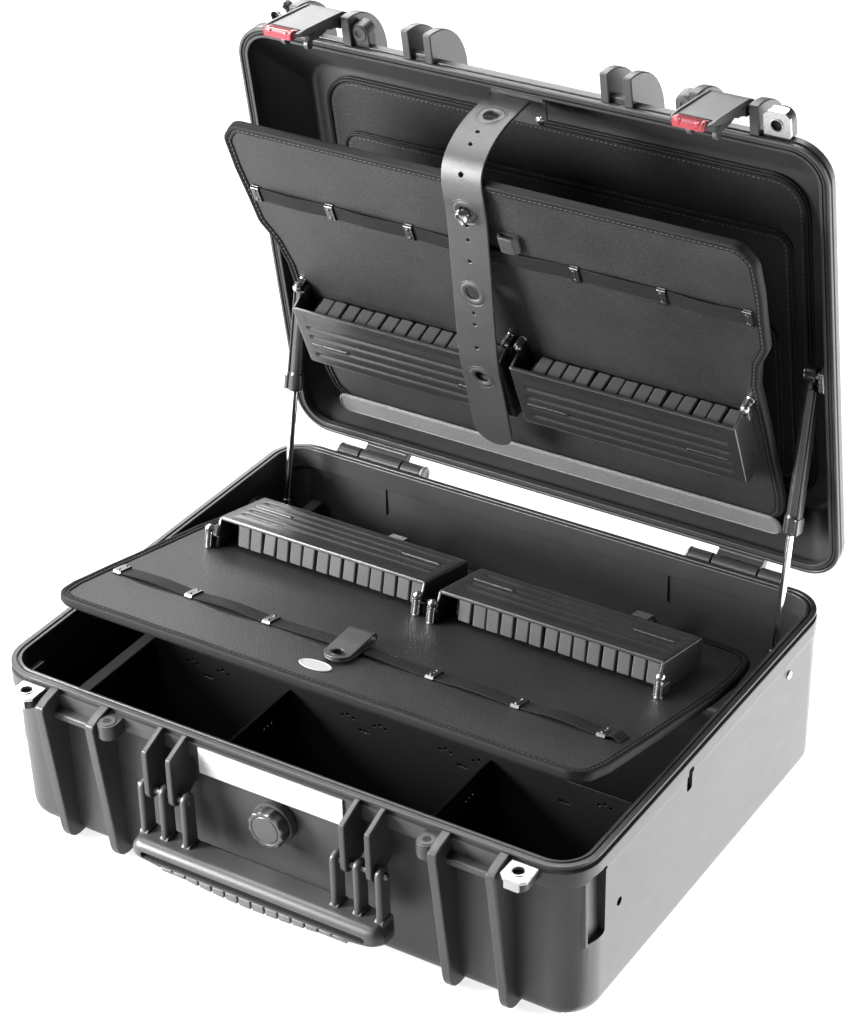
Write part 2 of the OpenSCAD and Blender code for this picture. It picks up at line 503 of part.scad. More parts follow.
module lower_holders() color(black) lower_face() { translate([4, 6, 0]) holder(5.9, hold_v_lo); mirror([1, 0, 0]) holder(5.9, hold_v_lo); }
module lower_combs() color([0.2, 0.2, 0.2]) lower_face() { translate([4, 6, 0]) comb(5.9, hold_v_lo); mirror([1, 0, 0]) comb(5.9, hold_v_lo); }
module lower_screws() color(steel) lower_face() { posts_at(hold_v_lo + 80.5, 20, [9.7, 210.4]); posts_at(hold_v_lo + 74.5, 20, [-7.7, -208.4]); }
// two bent arms from under the board to the pivots on the back wall
module lower_hinge_arms() color(steel) in_lower() both() difference() {
    union() {
        translate([110, D2 - 129, H - 42.5]) cube([16, 36, 1.2]);
        slab_x(110, 16) polygon([[D2 - 129, H - 42.5], [D2 - 129, H - 45], [D2 - 56, H - 45], [D2 - 17, laz - 2], [D2 - 13, laz + 1], [D2 - 54, H - 42.5]]);
        translate([109.6, lay, laz]) rotate([0, 90, 0]) cylinder(h = 16.8, r = 5.2, $fn = 48);
    }
    translate([90, lay, laz]) rotate([0, 90, 0]) cylinder(h = 60, r = 2.56, $fn = 48);
}

base_shell();
base_corner_plates();
label_plate();
valve_body();
valve_knob();
handle();
handle_grip();
handle_pins();
hinge_pins();
hinge_caps();
strut_base_brackets();
divider_side();
divider_long();
dividers_cross();
board_hinge_brackets();
lid_shell();
lid_seal();
lid_corner_plates();
strut_lid_brackets();
latch_pins();
document_panel();
document_pocket();
card_pocket();
strap_bracket();
strap_rivets();
latch_left();
latch_right();
latch_button_left();
latch_button_right();
strut_tube_left();
strut_tube_right();
strut_rod_left();
strut_rod_right();
upper_board();
upper_binding();
upper_elastic();
upper_clips();
upper_loop();
upper_holders();
upper_combs();
upper_screws();
upper_flap();
flap_gusset();
strap_front();
strap_arc();
strap_eyelets();
turn_lock_base();
turn_lock_knob();
lower_board();
lower_binding();
lower_elastic();
lower_clips();
lower_tab();
lower_badge();
lower_holders();
lower_combs();
lower_screws();
lower_hinge_arms();
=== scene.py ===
"""Looks of the hard tool case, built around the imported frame."""
import bpy
import bmesh
import json
import math
import random
import numpy as np
from math import sin, cos, radians, pi, hypot
from mathutils import Matrix, Vector


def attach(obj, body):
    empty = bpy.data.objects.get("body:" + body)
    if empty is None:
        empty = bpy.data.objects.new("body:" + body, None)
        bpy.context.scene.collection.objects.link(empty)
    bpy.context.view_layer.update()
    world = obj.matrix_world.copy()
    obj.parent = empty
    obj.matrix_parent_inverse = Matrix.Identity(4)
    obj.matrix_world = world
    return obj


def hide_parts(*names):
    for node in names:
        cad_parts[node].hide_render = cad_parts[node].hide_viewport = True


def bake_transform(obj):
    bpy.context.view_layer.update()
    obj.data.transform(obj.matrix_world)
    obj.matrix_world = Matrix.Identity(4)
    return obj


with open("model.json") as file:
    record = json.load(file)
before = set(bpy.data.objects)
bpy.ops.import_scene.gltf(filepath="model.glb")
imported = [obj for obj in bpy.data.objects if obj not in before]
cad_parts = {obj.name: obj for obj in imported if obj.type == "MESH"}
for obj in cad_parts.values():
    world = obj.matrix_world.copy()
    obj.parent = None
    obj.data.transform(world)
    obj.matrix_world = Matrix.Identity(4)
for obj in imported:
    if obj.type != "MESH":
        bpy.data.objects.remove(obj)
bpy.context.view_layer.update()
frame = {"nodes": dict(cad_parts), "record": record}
random.seed(7)

# ------------------------------------------------------------ sizes, mm, as in the part
H, D2, W2, LID_H = 145.0, 201.0, 260.0, 58.0
HY, HZ = D2 + 11, H - 7
UAY, UAZ = D2 + 66, H - 38.4
LAY, LAZ = D2 - 15, H - 83
LY, LZ = -D2 - 16, H + 8
PY, PZ = -D2 - 16, 97.0
SX = 234.0
HOLDER_H = 26.0


def TR(x, y, z):
    return Matrix.Translation((x, y, z))


def RX(deg, y=0.0, z=0.0):
    return TR(0, y, z) @ Matrix.Rotation(radians(deg), 4, "X") @ TR(0, -y, -z)


IDM = Matrix.Identity(4)
LIDM = RX(-81.5, HY, HZ)
UPM = LIDM @ RX(12.8, UAY, UAZ)
LOWM = RX(-13.06, LAY, LAZ)
UFACE = UPM @ TR(0, D2 + 14, H + 24) @ Matrix.Rotation(pi, 4, "X")
LFACE = LOWM @ TR(0, D2, H - 35.3) @ Matrix.Diagonal((1, -1, 1, 1))
SUY, SUZ = D2 - 188, H + 16
SLY, SLZ = D2 - 49, H - 45
RU = LIDM @ Vector((0, SUY, SUZ))
STRUT_LEN = hypot(RU.y - SLY, RU.z - SLZ)
STRUT_A = math.degrees(math.atan2(SLZ - RU.z, SLY - RU.y))


def latch_m(s):
    return LIDM @ RX(-11.5, LY, LZ) @ TR(s * 176, 0, 0)


def strut_m(s):
    return TR(s * SX, RU.y, RU.z) @ Matrix.Rotation(radians(STRUT_A), 4, "X") @ Matrix.Rotation(radians(-90), 4, "X")


MIRX = Matrix.Diagonal((-1, 1, 1, 1))


# ------------------------------------------------------------ materials
def ramp(nt, src, pts, x, y):
    n = nt.nodes.new("ShaderNodeValToRGB")
    n.location = (x, y)
    while len(n.color_ramp.elements) < len(pts):
        n.color_ramp.elements.new(0.5)
    for e, (p, c) in zip(n.color_ramp.elements, pts):
        e.position = p
        e.color = (c, c, c, 1) if not hasattr(c, "__len__") else (*c, 1)
    nt.links.new(src, n.inputs[0])
    return n.outputs[0]


def noise(nt, scale, detail=3.0, rough=0.5, vec=None, dist=0.0):
    n = nt.nodes.new("ShaderNodeTexNoise")
    n.inputs["Scale"].default_value = scale
    n.inputs["Detail"].default_value = detail
    n.inputs["Roughness"].default_value = rough
    n.inputs["Distortion"].default_value = dist
    if vec is not None:
        nt.links.new(vec, n.inputs["Vector"])
    return n.outputs["Fac"]


def voronoi(nt, scale, vec, feature="F1", rnd=1.0):
    n = nt.nodes.new("ShaderNodeTexVoronoi")
    n.feature = feature
    n.inputs["Scale"].default_value = scale
    n.inputs["Randomness"].default_value = rnd
    nt.links.new(vec, n.inputs["Vector"])
    return n.outputs["Distance"]


def mathn(nt, op, a, b=None, clamp=False):
    n = nt.nodes.new("ShaderNodeMath")
    n.operation = op
    n.use_clamp = clamp
    for i, v in enumerate((a, b)):
        if v is None:
            continue
        if isinstance(v, (int, float)):
            n.inputs[i].default_value = v
        else:
            nt.links.new(v, n.inputs[i])
    return n.outputs[0]


def bump(nt, height, strength, dist, normal=None):
    n = nt.nodes.new("ShaderNodeBump")
    n.inputs["Strength"].default_value = strength
    n.inputs["Distance"].default_value = dist
    nt.links.new(height, n.inputs["Height"])
    if normal is not None:
        nt.links.new(normal, n.inputs["Normal"])
    return n.outputs["Normal"]


def scaled(nt, vec, s):
    n = nt.nodes.new("ShaderNodeMapping")
    n.inputs["Scale"].default_value = s
    nt.links.new(vec, n.inputs["Vector"])
    return n.outputs["Vector"]


def new_mat(name):
    m = bpy.data.materials.new(name)
    m.use_nodes = True
    nt = m.node_tree
    b = nt.nodes["Principled BSDF"]
    tc = nt.nodes.new("ShaderNodeTexCoord")
    return m, nt, b, tc.outputs["Object"]


def plastic(name, col, rough, grain=2600, grain_s=0.25, var=0.12, spec=0.5, scuff=0.06, coat=0.0):
    """Moulded plastic: fine mould texture, slow colour drift, light rubbed patches."""
    m, nt, b, v = new_mat(name)
    n1 = noise(nt, 9, 4, 0.55, v)
    n2 = noise(nt, 70, 3, 0.6, v)
    mix = mathn(nt, "ADD", mathn(nt, "MULTIPLY", n1, 0.65), mathn(nt, "MULTIPLY", n2, 0.35))
    lo = [c * (1 - var) for c in col]
    hi = [c * (1 + var) for c in col]
    nt.links.new(ramp(nt, mix, [(0.3, lo), (0.7, hi)], -300, 200), b.inputs["Base Color"])
    # rubbed streaks change the gloss
    sv = scaled(nt, v, (6, 6, 40))
    s = noise(nt, 6, 5, 0.65, sv, 0.4)
    rr_ = mathn(nt, "ADD", mathn(nt, "MULTIPLY", s, scuff * 2), rough - scuff)
    nt.links.new(rr_, b.inputs["Roughness"])
    g = noise(nt, grain, 2, 0.6, v)
    g2 = voronoi(nt, grain * 0.45, v)
    h = mathn(nt, "ADD", g, mathn(nt, "MULTIPLY", g2, 0.6))
    nt.links.new(bump(nt, h, grain_s, 0.00012), b.inputs["Normal"])
    b.inputs["Specular IOR Level"].default_value = spec
    b.inputs["Coat Weight"].default_value = coat
    b.inputs["Coat Roughness"].default_value = 0.25
    return m


def leather(name, col, rough, scale=900, depth=0.55, var=0.24, sheen=0.0, spec=0.4):
    """Grained leatherette: pebbles with creases between, painted shade darkening the creases, and broad mottling."""
    m, nt, b, v = new_mat(name)
    warp = noise(nt, 160, 3, 0.6, v)
    vr = voronoi(nt, scale, v, "DISTANCE_TO_EDGE")
    cre = ramp(nt, vr, [(0.0, 0.0), (0.16, 0.85), (0.5, 1.0)], -500, -200)
    fine = noise(nt, scale * 3.2, 3, 0.65, v)
    mid = noise(nt, 420, 3, 0.7, v)
    h = mathn(nt, "ADD", mathn(nt, "MULTIPLY", cre, 0.75), mathn(nt, "ADD", mathn(nt, "MULTIPLY", fine, 0.35), mathn(nt, "MULTIPLY", warp, 0.4)))
    big = noise(nt, 11, 4, 0.6, v)
    lo = [c * (1 - var) for c in col]
    hi = [c * (1 + var) for c in col]
    base = ramp(nt, mathn(nt, "ADD", mathn(nt, "MULTIPLY", big, 0.35), mathn(nt, "ADD", mathn(nt, "MULTIPLY", fine, 0.25), mathn(nt, "MULTIPLY", mid, 0.4))), [(0.38, lo), (0.62, hi)], -300, 200)
    # painted shade: the base colour is darkened along the creases between the pebbles
    crease_shade_mix = nt.nodes.new("ShaderNodeMix")
    crease_shade_mix.data_type = "RGBA"
    crease_shade_mix.blend_type = "MULTIPLY"
    crease_shade_mix.inputs[0].default_value = 0.45
    nt.links.new(base, crease_shade_mix.inputs[6])
    nt.links.new(ramp(nt, vr, [(0.0, 0.35), (0.14, 1.0)], -500, 0), crease_shade_mix.inputs[7])
    nt.links.new(crease_shade_mix.outputs[2], b.inputs["Base Color"])
    nt.links.new(mathn(nt, "ADD", mathn(nt, "MULTIPLY", big, 0.16), rough - 0.08), b.inputs["Roughness"])
    nt.links.new(bump(nt, h, depth, 0.00016), b.inputs["Normal"])
    b.inputs["Specular IOR Level"].default_value = spec
    if sheen:
        b.inputs["Sheen Weight"].default_value = sheen
        b.inputs["Sheen Roughness"].default_value = 0.4
    return m


def metal(name, col, rough, brushed=True, var=0.08, aniso=0.0, worn=0.1):
    m, nt, b, v = new_mat(name)
    n1 = noise(nt, 60, 4, 0.6, v)
    sv = scaled(nt, v, (40, 900, 900)) if brushed else scaled(nt, v, (300, 300, 300))
    n2 = noise(nt, 4 if brushed else 2, 4, 0.6, sv)
    lo = [c * (1 - var) for c in col]
    hi = [min(1, c * (1 + var)) for c in col]
    nt.links.new(ramp(nt, n1, [(0.3, lo), (0.7, hi)], -300, 200), b.inputs["Base Color"])
    nt.links.new(mathn(nt, "ADD", mathn(nt, "MULTIPLY", n2, worn), rough - worn / 2), b.inputs["Roughness"])
    nt.links.new(bump(nt, n2, 0.12, 0.00005), b.inputs["Normal"])
    b.inputs["Metallic"].default_value = 1.0
    b.inputs["Anisotropic"].default_value = aniso
    return m


def woven(name, col, rough=0.7):
    """Woven elastic: ribs across, threads along."""
    m, nt, b, v = new_mat(name)
    w1 = nt.nodes.new("ShaderNodeTexWave")
    w1.wave_type = "BANDS"
    w1.bands_direction = "X"
    w1.inputs["Scale"].default_value = 260
    w1.inputs["Distortion"].default_value = 1.2
    w1.inputs["Detail"].default_value = 2
    w1.inputs["Detail Scale"].default_value = 2
    nt.links.new(v, w1.inputs["Vector"])
    w2 = nt.nodes.new("ShaderNodeTexWave")
    w2.wave_type = "BANDS"
    w2.bands_direction = "Y"
    w2.inputs["Scale"].default_value = 190
    w2.inputs["Distortion"].default_value = 0.8
    nt.links.new(v, w2.inputs["Vector"])
    h = mathn(nt, "ADD", mathn(nt, "MULTIPLY", w1.outputs["Fac"], 0.7), mathn(nt, "MULTIPLY", w2.outputs["Fac"], 0.5))
    n1 = noise(nt, 120, 3, 0.6, v)
    t = mathn(nt, "ADD", mathn(nt, "MULTIPLY", h, 0.5), mathn(nt, "MULTIPLY", n1, 0.4))
    nt.links.new(ramp(nt, t, [(0.2, [c * 0.55 for c in col]), (0.85, [c * 1.4 for c in col])], -300, 200), b.inputs["Base Color"])
    nt.links.new(mathn(nt, "ADD", mathn(nt, "MULTIPLY", n1, 0.14), rough - 0.07), b.inputs["Roughness"])
    nt.links.new(bump(nt, h, 0.6, 0.0002), b.inputs["Normal"])
    b.inputs["Sheen Weight"].default_value = 0.02
    b.inputs["Sheen Roughness"].default_value = 0.5
    b.inputs["Specular IOR Level"].default_value = 0.15
    return m


def floor_mat(name, glow):
    m, nt, b, v = new_mat(name)
    n1 = noise(nt, 1.6, 3, 0.5, v)
    nt.links.new(ramp(nt, n1, [(0.3, 0.24), (0.7, 0.27)], -300, 200), b.inputs["Base Color"])
    b.inputs["Roughness"].default_value = 0.65
    b.inputs["Specular IOR Level"].default_value = 0.2
    b.inputs["Emission Color"].default_value = (1, 1, 1, 1)
    b.inputs["Emission Strength"].default_value = glow
    return m


M = {
    "shell": plastic("shell", (0.0275, 0.0275, 0.028), 0.40, spec=0.45, var=0.16),
    "fitting": plastic("fitting", (0.038, 0.038, 0.039), 0.38, grain_s=0.18, spec=0.5),
    "grip": plastic("grip", (0.085, 0.085, 0.087), 0.5, grain_s=0.3),
    "latch": plastic("latch", (0.036, 0.036, 0.037), 0.42, grain_s=0.12),
    "red": plastic("red", (0.21, 0.005, 0.016), 0.30, grain_s=0.06, var=0.05, coat=0.2),
    "label": plastic("label", (0.36, 0.36, 0.357), 0.35, grain_s=0.03, var=0.02, scuff=0.03),
    "steel": metal("steel", (0.43, 0.43, 0.425), 0.27),
    "steel_dark": metal("steel_dark", (0.12, 0.12, 0.118), 0.36),
    "rod": metal("rod", (0.80, 0.80, 0.81), 0.13, brushed=False, worn=0.06),
    "tube": plastic("tube", (0.018, 0.018, 0.019), 0.24, grain_s=0.03, coat=0.5),
    "caps": plastic("caps", (0.30, 0.30, 0.305), 0.40, grain_s=0.1),
    "seal": plastic("seal", (0.016, 0.016, 0.016), 0.70, grain=1500, grain_s=0.5, spec=0.25),
    "divider": plastic("divider", (0.006, 0.006, 0.0063), 0.45, grain_s=0.1, spec=0.3),
    "side_divider": plastic("side_divider", (0.013, 0.013, 0.0135), 0.42, grain_s=0.1),
    "board": leather("board", (0.0150, 0.0150, 0.0155), 0.52, scale=430, depth=1.0, var=0.5),
    "binding": leather("binding", (0.0065, 0.0065, 0.007), 0.60, scale=1300, depth=0.3, spec=0.14),
    "panel": leather("panel", (0.012, 0.012, 0.0125), 0.55, scale=430, depth=0.9, var=0.4, spec=0.28),
    "strap": leather("strap", (0.032, 0.032, 0.033), 0.42, scale=1100, depth=0.35, spec=0.65),
    "flap": leather("flap", (0.12, 0.12, 0.122), 0.55, scale=1000),
    "elastic": woven("elastic", (0.007, 0.007, 0.0075)),
    "holder": plastic("holder", (0.016, 0.016, 0.0165), 0.29, grain_s=0.12, spec=0.6),
    "comb": plastic("comb", (0.050, 0.050, 0.052), 0.50, grain_s=0.2, spec=0.35),
    "thread": plastic("thread", (0.05, 0.05, 0.05), 0.6, grain_s=0.3),
    "floor": floor_mat("floor", 0.80),
    "sweep": floor_mat("sweep", 3.8),
}
# ------------------------------------------------------------ every CAD node gets its slot's material
SLOT = {p["node"]: p["material_slot"] for p in frame["record"]["subparts"]}
for n, o in frame["nodes"].items():
    if not o.data.materials:
        o.data.materials.append(None)
    for i in range(len(o.material_slots)):
        o.material_slots[i].link = "OBJECT"
        o.material_slots[i].material = M[SLOT[n]]

# ------------------------------------------------------------ camera, floor, light
AZ, EL, ROLL, F = radians(32.19), radians(29.82), radians(-1.36), 2842.45
back = Vector((sin(AZ) * cos(EL), -cos(AZ) * cos(EL), sin(EL)))
xr = Vector((0, 0, 1)).cross(back).normalized()
yr = back.cross(xr)
xr, yr = cos(ROLL) * xr + sin(ROLL) * yr, -sin(ROLL) * xr + cos(ROLL) * yr
loc = (xr * 42.65 + yr * 162.05 + back * 2220.71) * 0.001 + Vector((0, 0, 0.145))
cam = bpy.data.objects.new("camera", bpy.data.cameras.new("camera"))
bpy.context.collection.objects.link(cam)
cam.matrix_world = Matrix(((xr.x, yr.x, back.x, loc.x), (xr.y, yr.y, back.y, loc.y), (xr.z, yr.z, back.z, loc.z), (0, 0, 0, 1)))
cam.data.sensor_fit = "AUTO"
cam.data.sensor_width = 36
cam.data.lens = F * 36 / 1024
cam.data.shift_x = -(471.99 - 423.5) / 1024
cam.data.shift_y = (423.32 - 512) / 1024
cam.data.clip_start, cam.data.clip_end = 0.05, 60
bpy.context.scene.camera = cam

fm = bpy.data.meshes.new("floor")
fm.from_pydata([(-9, -9, 0), (9, -9, 0), (9, 9, 0), (-9, 9, 0)], [], [(0, 1, 2, 3)])
floor = bpy.data.objects.new("floor", fm)
bpy.context.collection.objects.link(floor)
floor.location.z = -0.0006
fm.materials.append(M["floor"])
cm = bpy.data.meshes.new("sweep")
cm.from_pydata([(0.235, -0.185, 0), (3.2, -0.185, 0), (3.2, 3.2, 0), (0.235, 3.2, 0)], [], [(0, 1, 2, 3)])
sweep_card = bpy.data.objects.new("sweep", cm)
bpy.context.collection.objects.link(sweep_card)
cm.materials.append(M["sweep"])

w = bpy.data.worlds.new("studio")
bpy.context.scene.world = w
w.use_nodes = True
w.node_tree.nodes["Background"].inputs[0].default_value = (1, 1, 1, 1)
w.node_tree.nodes["Background"].inputs[1].default_value = 0.07


def area(name, pos, target, size, power, size_y=None):
    l = bpy.data.lights.new(name, "AREA")
    l.shape = "RECTANGLE"
    l.size, l.size_y = size, size_y or size
    l.energy = power
    o = bpy.data.objects.new(name, l)
    bpy.context.collection.objects.link(o)
    o.location = pos
    o.rotation_mode = "QUATERNION"
    o.rotation_quaternion = (Vector(target) - Vector(pos)).to_track_quat("-Z", "Y")
    return o


area("key_right", (2.5, 1.5, 0.8), (0.2, 0, 0.15), 1.6, 30, 1.2)
area("front_left", (-1.05, -0.98, 0.62), (-0.05, -0.15, 0.2), 0.55, 92, 0.5)
area("top_back", (-0.5, 1.7, 2.9), (0, -0.05, 0.15), 1.5, 90, 1.0)
area("top_front", (-0.6, -2.3, 2.3), (0, -0.1, 0.2), 1.2, 36, 0.9)
area("over_left", (-1.3, 0.1, 2.4), (-0.05, 0, 0.2), 1.2, 62, 1.0)
area("back_left", (-2.2, 2.9, 1.9), (-0.1, 0, 0.2), 1.8, 80, 1.5)
bpy.context.scene.view_settings.view_transform = "Standard"
bpy.context.scene.view_settings.look = "None"

# ------------------------------------------------------------ mesh kit, in mm
class Build:
    def __init__(self):
        self.v, self.f = [], []

    def add(self, geo, m=IDM):
        vs, fs = geo
        k = len(self.v)
        self.v += [tuple(m @ Vector(p)) for p in vs]
        flip = m.determinant() < 0
        self.f += [tuple(k + i for i in (reversed(f) if flip else f)) for f in fs]
        return self


def from_bm(bm):
    bm.verts.ensure_lookup_table()
    bm.verts.index_update()
    g = ([tuple(v.co) for v in bm.verts], [tuple(v.index for v in f.verts) for f in bm.faces])
    bm.free()
    return g


def prism(poly, t, bev=0.0, seg=2, ang=24, ends=None):
    """Extruded polygon from z=0 to t with rounded edges."""
    bm = bmesh.new()
    vs = [bm.verts.new((p[0], p[1], 0)) for p in poly]
    f = bm.faces.new(vs)
    r = bmesh.ops.extrude_face_region(bm, geom=[f])
    for v in [x for x in r["geom"] if isinstance(x, bmesh.types.BMVert)]:
        v.co.z = t
    bmesh.ops.recalc_face_normals(bm, faces=bm.faces)
    if bev:
        es = [e for e in bm.edges if len(e.link_faces) == 2 and e.calc_face_angle(0) > radians(ang)]
        bmesh.ops.bevel(bm, geom=es, offset=bev, segments=seg, profile=0.5, affect="EDGES", clamp_overlap=True)
    return from_bm(bm)


def box(lo, hi, bev=0.6, seg=2):
    g = prism([(lo[0], lo[1]), (hi[0], lo[1]), (hi[0], hi[1]), (lo[0], hi[1])], hi[2] - lo[2], bev, seg)
    return ([(x, y, z + lo[2]) for x, y, z in g[0]], g[1])


def moved(g, m):
    b = Build().add(g, m)
    return (b.v, b.f)


CYC = Matrix(((0, 0, 1, 0), (1, 0, 0, 0), (0, 1, 0, 0), (0, 0, 0, 1)))      # (y, z, t) to (x=t, y, z)
SWP = Matrix(((1, 0, 0, 0), (0, 0, 1, 0), (0, 1, 0, 0), (0, 0, 0, 1)))      # (x, z, t) to (x, y=t, z)


def slab_x(x0, t, poly, bev=0.6, seg=2):
    return moved(prism(poly, t, bev, seg), TR(x0, 0, 0) @ CYC)


def slab_y(y0, t, poly, bev=0.6, seg=2):
    return moved(prism(poly, t, bev, seg), TR(0, y0, 0) @ SWP)


def merged(*gs):
    b = Build()
    for g in gs:
        b.add(g)
    return (b.v, b.f)


def arc(cx, cy, r, a0, a1, n=10):
    return [(cx + r * cos(radians(a0 + (a1 - a0) * i / n)), cy + r * sin(radians(a0 + (a1 - a0) * i / n))) for i in range(n + 1)]


def fillet(poly, r, n=6):
    """Rounds each corner of a closed polygon. r is a number or a list."""
    out = []
    N = len(poly)
    for i in range(N):
        p0, p1, p2 = Vector(poly[i - 1]), Vector(poly[i]), Vector(poly[(i + 1) % N])
        a, b = (p0 - p1), (p2 - p1)
        la, lb = a.length, b.length
        a.normalize()
        b.normalize()
        ri = r[i] if hasattr(r, "__len__") else r
        th = a.angle(b, pi)
        if ri <= 0 or th > pi - 0.02:
            out.append(tuple(p1))
            continue
        d = min(ri / math.tan(th / 2), la * 0.499, lb * 0.499)
        rr = d * math.tan(th / 2)
        c = p1 + (a + b).normalized() * (rr / sin(th / 2))
        s, e = p1 + a * d, p1 + b * d
        v0, v1 = s - c, e - c
        t0 = math.atan2(v0.y, v0.x)
        dt = (math.atan2(v1.y, v1.x) - t0 + pi) % (2 * pi) - pi
        k = max(2, int(n * abs(dt) / (pi / 2)) + 1)
        out += [(c.x + rr * cos(t0 + dt * j / k), c.y + rr * sin(t0 + dt * j / k)) for j in range(k + 1)]
    clean = []
    for p in out:
        if not clean or (Vector(p) - Vector(clean[-1])).length > 1e-4:
            clean.append(p)
    if (Vector(clean[0]) - Vector(clean[-1])).length < 1e-4:
        clean.pop()
    return clean


def rrect(x0, y0, x1, y1, r, n=8):
    return fillet([(x0, y0), (x1, y0), (x1, y1), (x0, y1)], r, n)


def offset_loop(pts, d):
    """Closed CCW loop moved inwards by d."""
    out = []
    N = len(pts)
    for i in range(N):
        p0, p1, p2 = Vector(pts[i - 1]), Vector(pts[i]), Vector(pts[(i + 1) % N])
        t1, t2 = (p1 - p0).normalized(), (p2 - p1).normalized()
        n1, n2 = Vector((-t1.y, t1.x)), Vector((-t2.y, t2.x))
        n = n1 + n2
        n = n / max(n.length_squared / 2, 0.25)
        out.append((p1.x + n.x * d, p1.y + n.y * d))
    return out


def ccw(poly):
    a = sum(poly[i - 1][0] * poly[i][1] - poly[i][0] * poly[i - 1][1] for i in range(len(poly)))
    return list(poly) if a > 0 else list(reversed(poly))


def loft(rings, caps=(True, True), closed=False):
    vs, fs = [], []
    n = len(rings[0])
    for r in rings:
        vs += [tuple(p) for p in r]
    m = len(rings)
    for i in range(m if closed else m - 1):
        for j in range(n):
            a, b = i * n + j, i * n + (j + 1) % n
            c, d = ((i + 1) % m) * n + (j + 1) % n, ((i + 1) % m) * n + j
            fs.append((a, b, c, d))
    if not closed and caps[0]:
        fs.append(tuple(reversed(range(n))))
    if not closed and caps[1]:
        fs.append(tuple(range((m - 1) * n, m * n)))
    return (vs, fs)


def ring4(hw, y0, y1, r, z, n=10):
    """Rounded rectangle as a ring of points at height z."""
    r = max(r, 0.5)
    out = []
    for cx, cy, a in ((hw - r, y1 - r, 0), (-hw + r, y1 - r, 90), (-hw + r, y0 + r, 180), (hw - r, y0 + r, 270)):
        out += [(cx + r * cos(radians(a + 90 * i / n)), cy + r * sin(radians(a + 90 * i / n)), z) for i in range(n + 1)]
    return out


def lathe(prof, n=40):
    """Profile of (r, z), turned about z. A radius of 0 closes an end."""
    vs, fs, rows = [], [], []
    for r, z in prof:
        if r < 1e-6:
            rows.append([len(vs)])
            vs.append((0, 0, z))
        else:
            rows.append(list(range(len(vs), len(vs) + n)))
            vs += [(r * cos(2 * pi * i / n), r * sin(2 * pi * i / n), z) for i in range(n)]
    for a, b in zip(rows, rows[1:]):
        for i in range(n):
            j = (i + 1) % n
            if len(a) == 1:
                fs.append((a[0], b[j], b[i]))
            elif len(b) == 1:
                fs.append((a[i], a[j], b[0]))
            else:
                fs.append((a[i], a[j], b[j], b[i]))
    for r, rev in ((rows[0], True), (rows[-1], False)):
        if len(r) > 1:
            fs.append(tuple(reversed(r)) if rev else tuple(r))
    return (vs, fs)


def rod(r, h, bev=0.4, n=40, r0=0.0):
    """Cylinder from z=0 to h with rounded ends, with an optional bore."""
    if r0:
        p = [(r0, 0), (r - bev, 0), (r - bev * 0.3, bev * 0.3), (r, bev), (r, h - bev), (r - bev * 0.3, h - bev * 0.3), (r - bev, h), (r0, h)]
        g = lathe(p, n)
        k = len(p)
        fs = [f for f in g[1] if len(f) == 4]
        fs += [((k - 1) * n + i, (k - 1) * n + (i + 1) % n, (i + 1) % n, i) for i in range(n)]
        return (g[0], fs)
    return lathe([(0, 0), (r - bev, 0), (r - bev * 0.3, bev * 0.3), (r, bev), (r, h - bev), (r - bev * 0.3, h - bev * 0.3), (r - bev, h), (0, h)], n)


AX = Matrix.Rotation(pi / 2, 4, "Y")       # z to x
AY = Matrix.Rotation(-pi / 2, 4, "X")      # z to y


def ball(r, n=24, m=12, squash=1.0):
    return lathe([(r * sin(pi * i / m), -r * squash * cos(pi * i / m)) for i in range(m + 1)], n)


def sweep(path, prof, side, closed=False, caps=True):
    """Profile points (a, b) swept along a path; a runs along side(i), b along side x direction."""
    rings = []
    N = len(path)
    P = [Vector(p) for p in path]
    for i in range(N):
        if closed:
            t = (P[(i + 1) % N] - P[i - 1]).normalized()
        else:
            t = (P[min(i + 1, N - 1)] - P[max(i - 1, 0)]).normalized()
        s = Vector(side(i) if callable(side) else side)
        s = (s - t * s.dot(t)).normalized()
        b = t.cross(s)
        rings.append([tuple(P[i] + s * a + b * c) for a, c in prof])
    return loft(rings, (caps, caps), closed)


def circle_prof(r, n=12, k=1.0):
    return [(r * cos(2 * pi * i / n), r * k * sin(2 * pi * i / n)) for i in range(n)]


def plate2d(outer, holes, t, bev=0.3, z0=0.0, res=2):
    """Flat plate with holes and rounded edges, from z0 to z0+t."""
    cu = bpy.data.curves.new("tmp", "CURVE")
    cu.dimensions = "2D"
    cu.fill_mode = "BOTH"
    cu.extrude = t / 2 - bev
    cu.bevel_depth = bev
    cu.bevel_resolution = res
    cu.offset = -bev
    for loop in [outer, *holes]:
        s = cu.splines.new("POLY")
        s.points.add(len(loop) - 1)
        for p, q in zip(s.points, loop):
            p.co = (q[0], q[1], 0, 1)
        s.use_cyclic_u = True
    o = bpy.data.objects.new("tmp", cu)
    bpy.context.collection.objects.link(o)
    dg = bpy.context.evaluated_depsgraph_get()
    me = bpy.data.meshes.new_from_object(o.evaluated_get(dg))
    bm = bmesh.new()
    bm.from_mesh(me)
    bmesh.ops.remove_doubles(bm, verts=bm.verts, dist=1e-4)
    bmesh.ops.recalc_face_normals(bm, faces=bm.faces)
    for v in bm.verts:
        v.co.z += z0 + t / 2
    bpy.data.objects.remove(o)
    bpy.data.curves.remove(cu)
    bpy.data.meshes.remove(me)
    return from_bm(bm)


def obj_of(geo, name="tmp", scale=1.0):
    me = bpy.data.meshes.new(name)
    me.from_pydata([(x * scale, y * scale, z * scale) for x, y, z in geo[0]], [], geo[1])
    me.validate()
    o = bpy.data.objects.new(name, me)
    bpy.context.collection.objects.link(o)
    return o


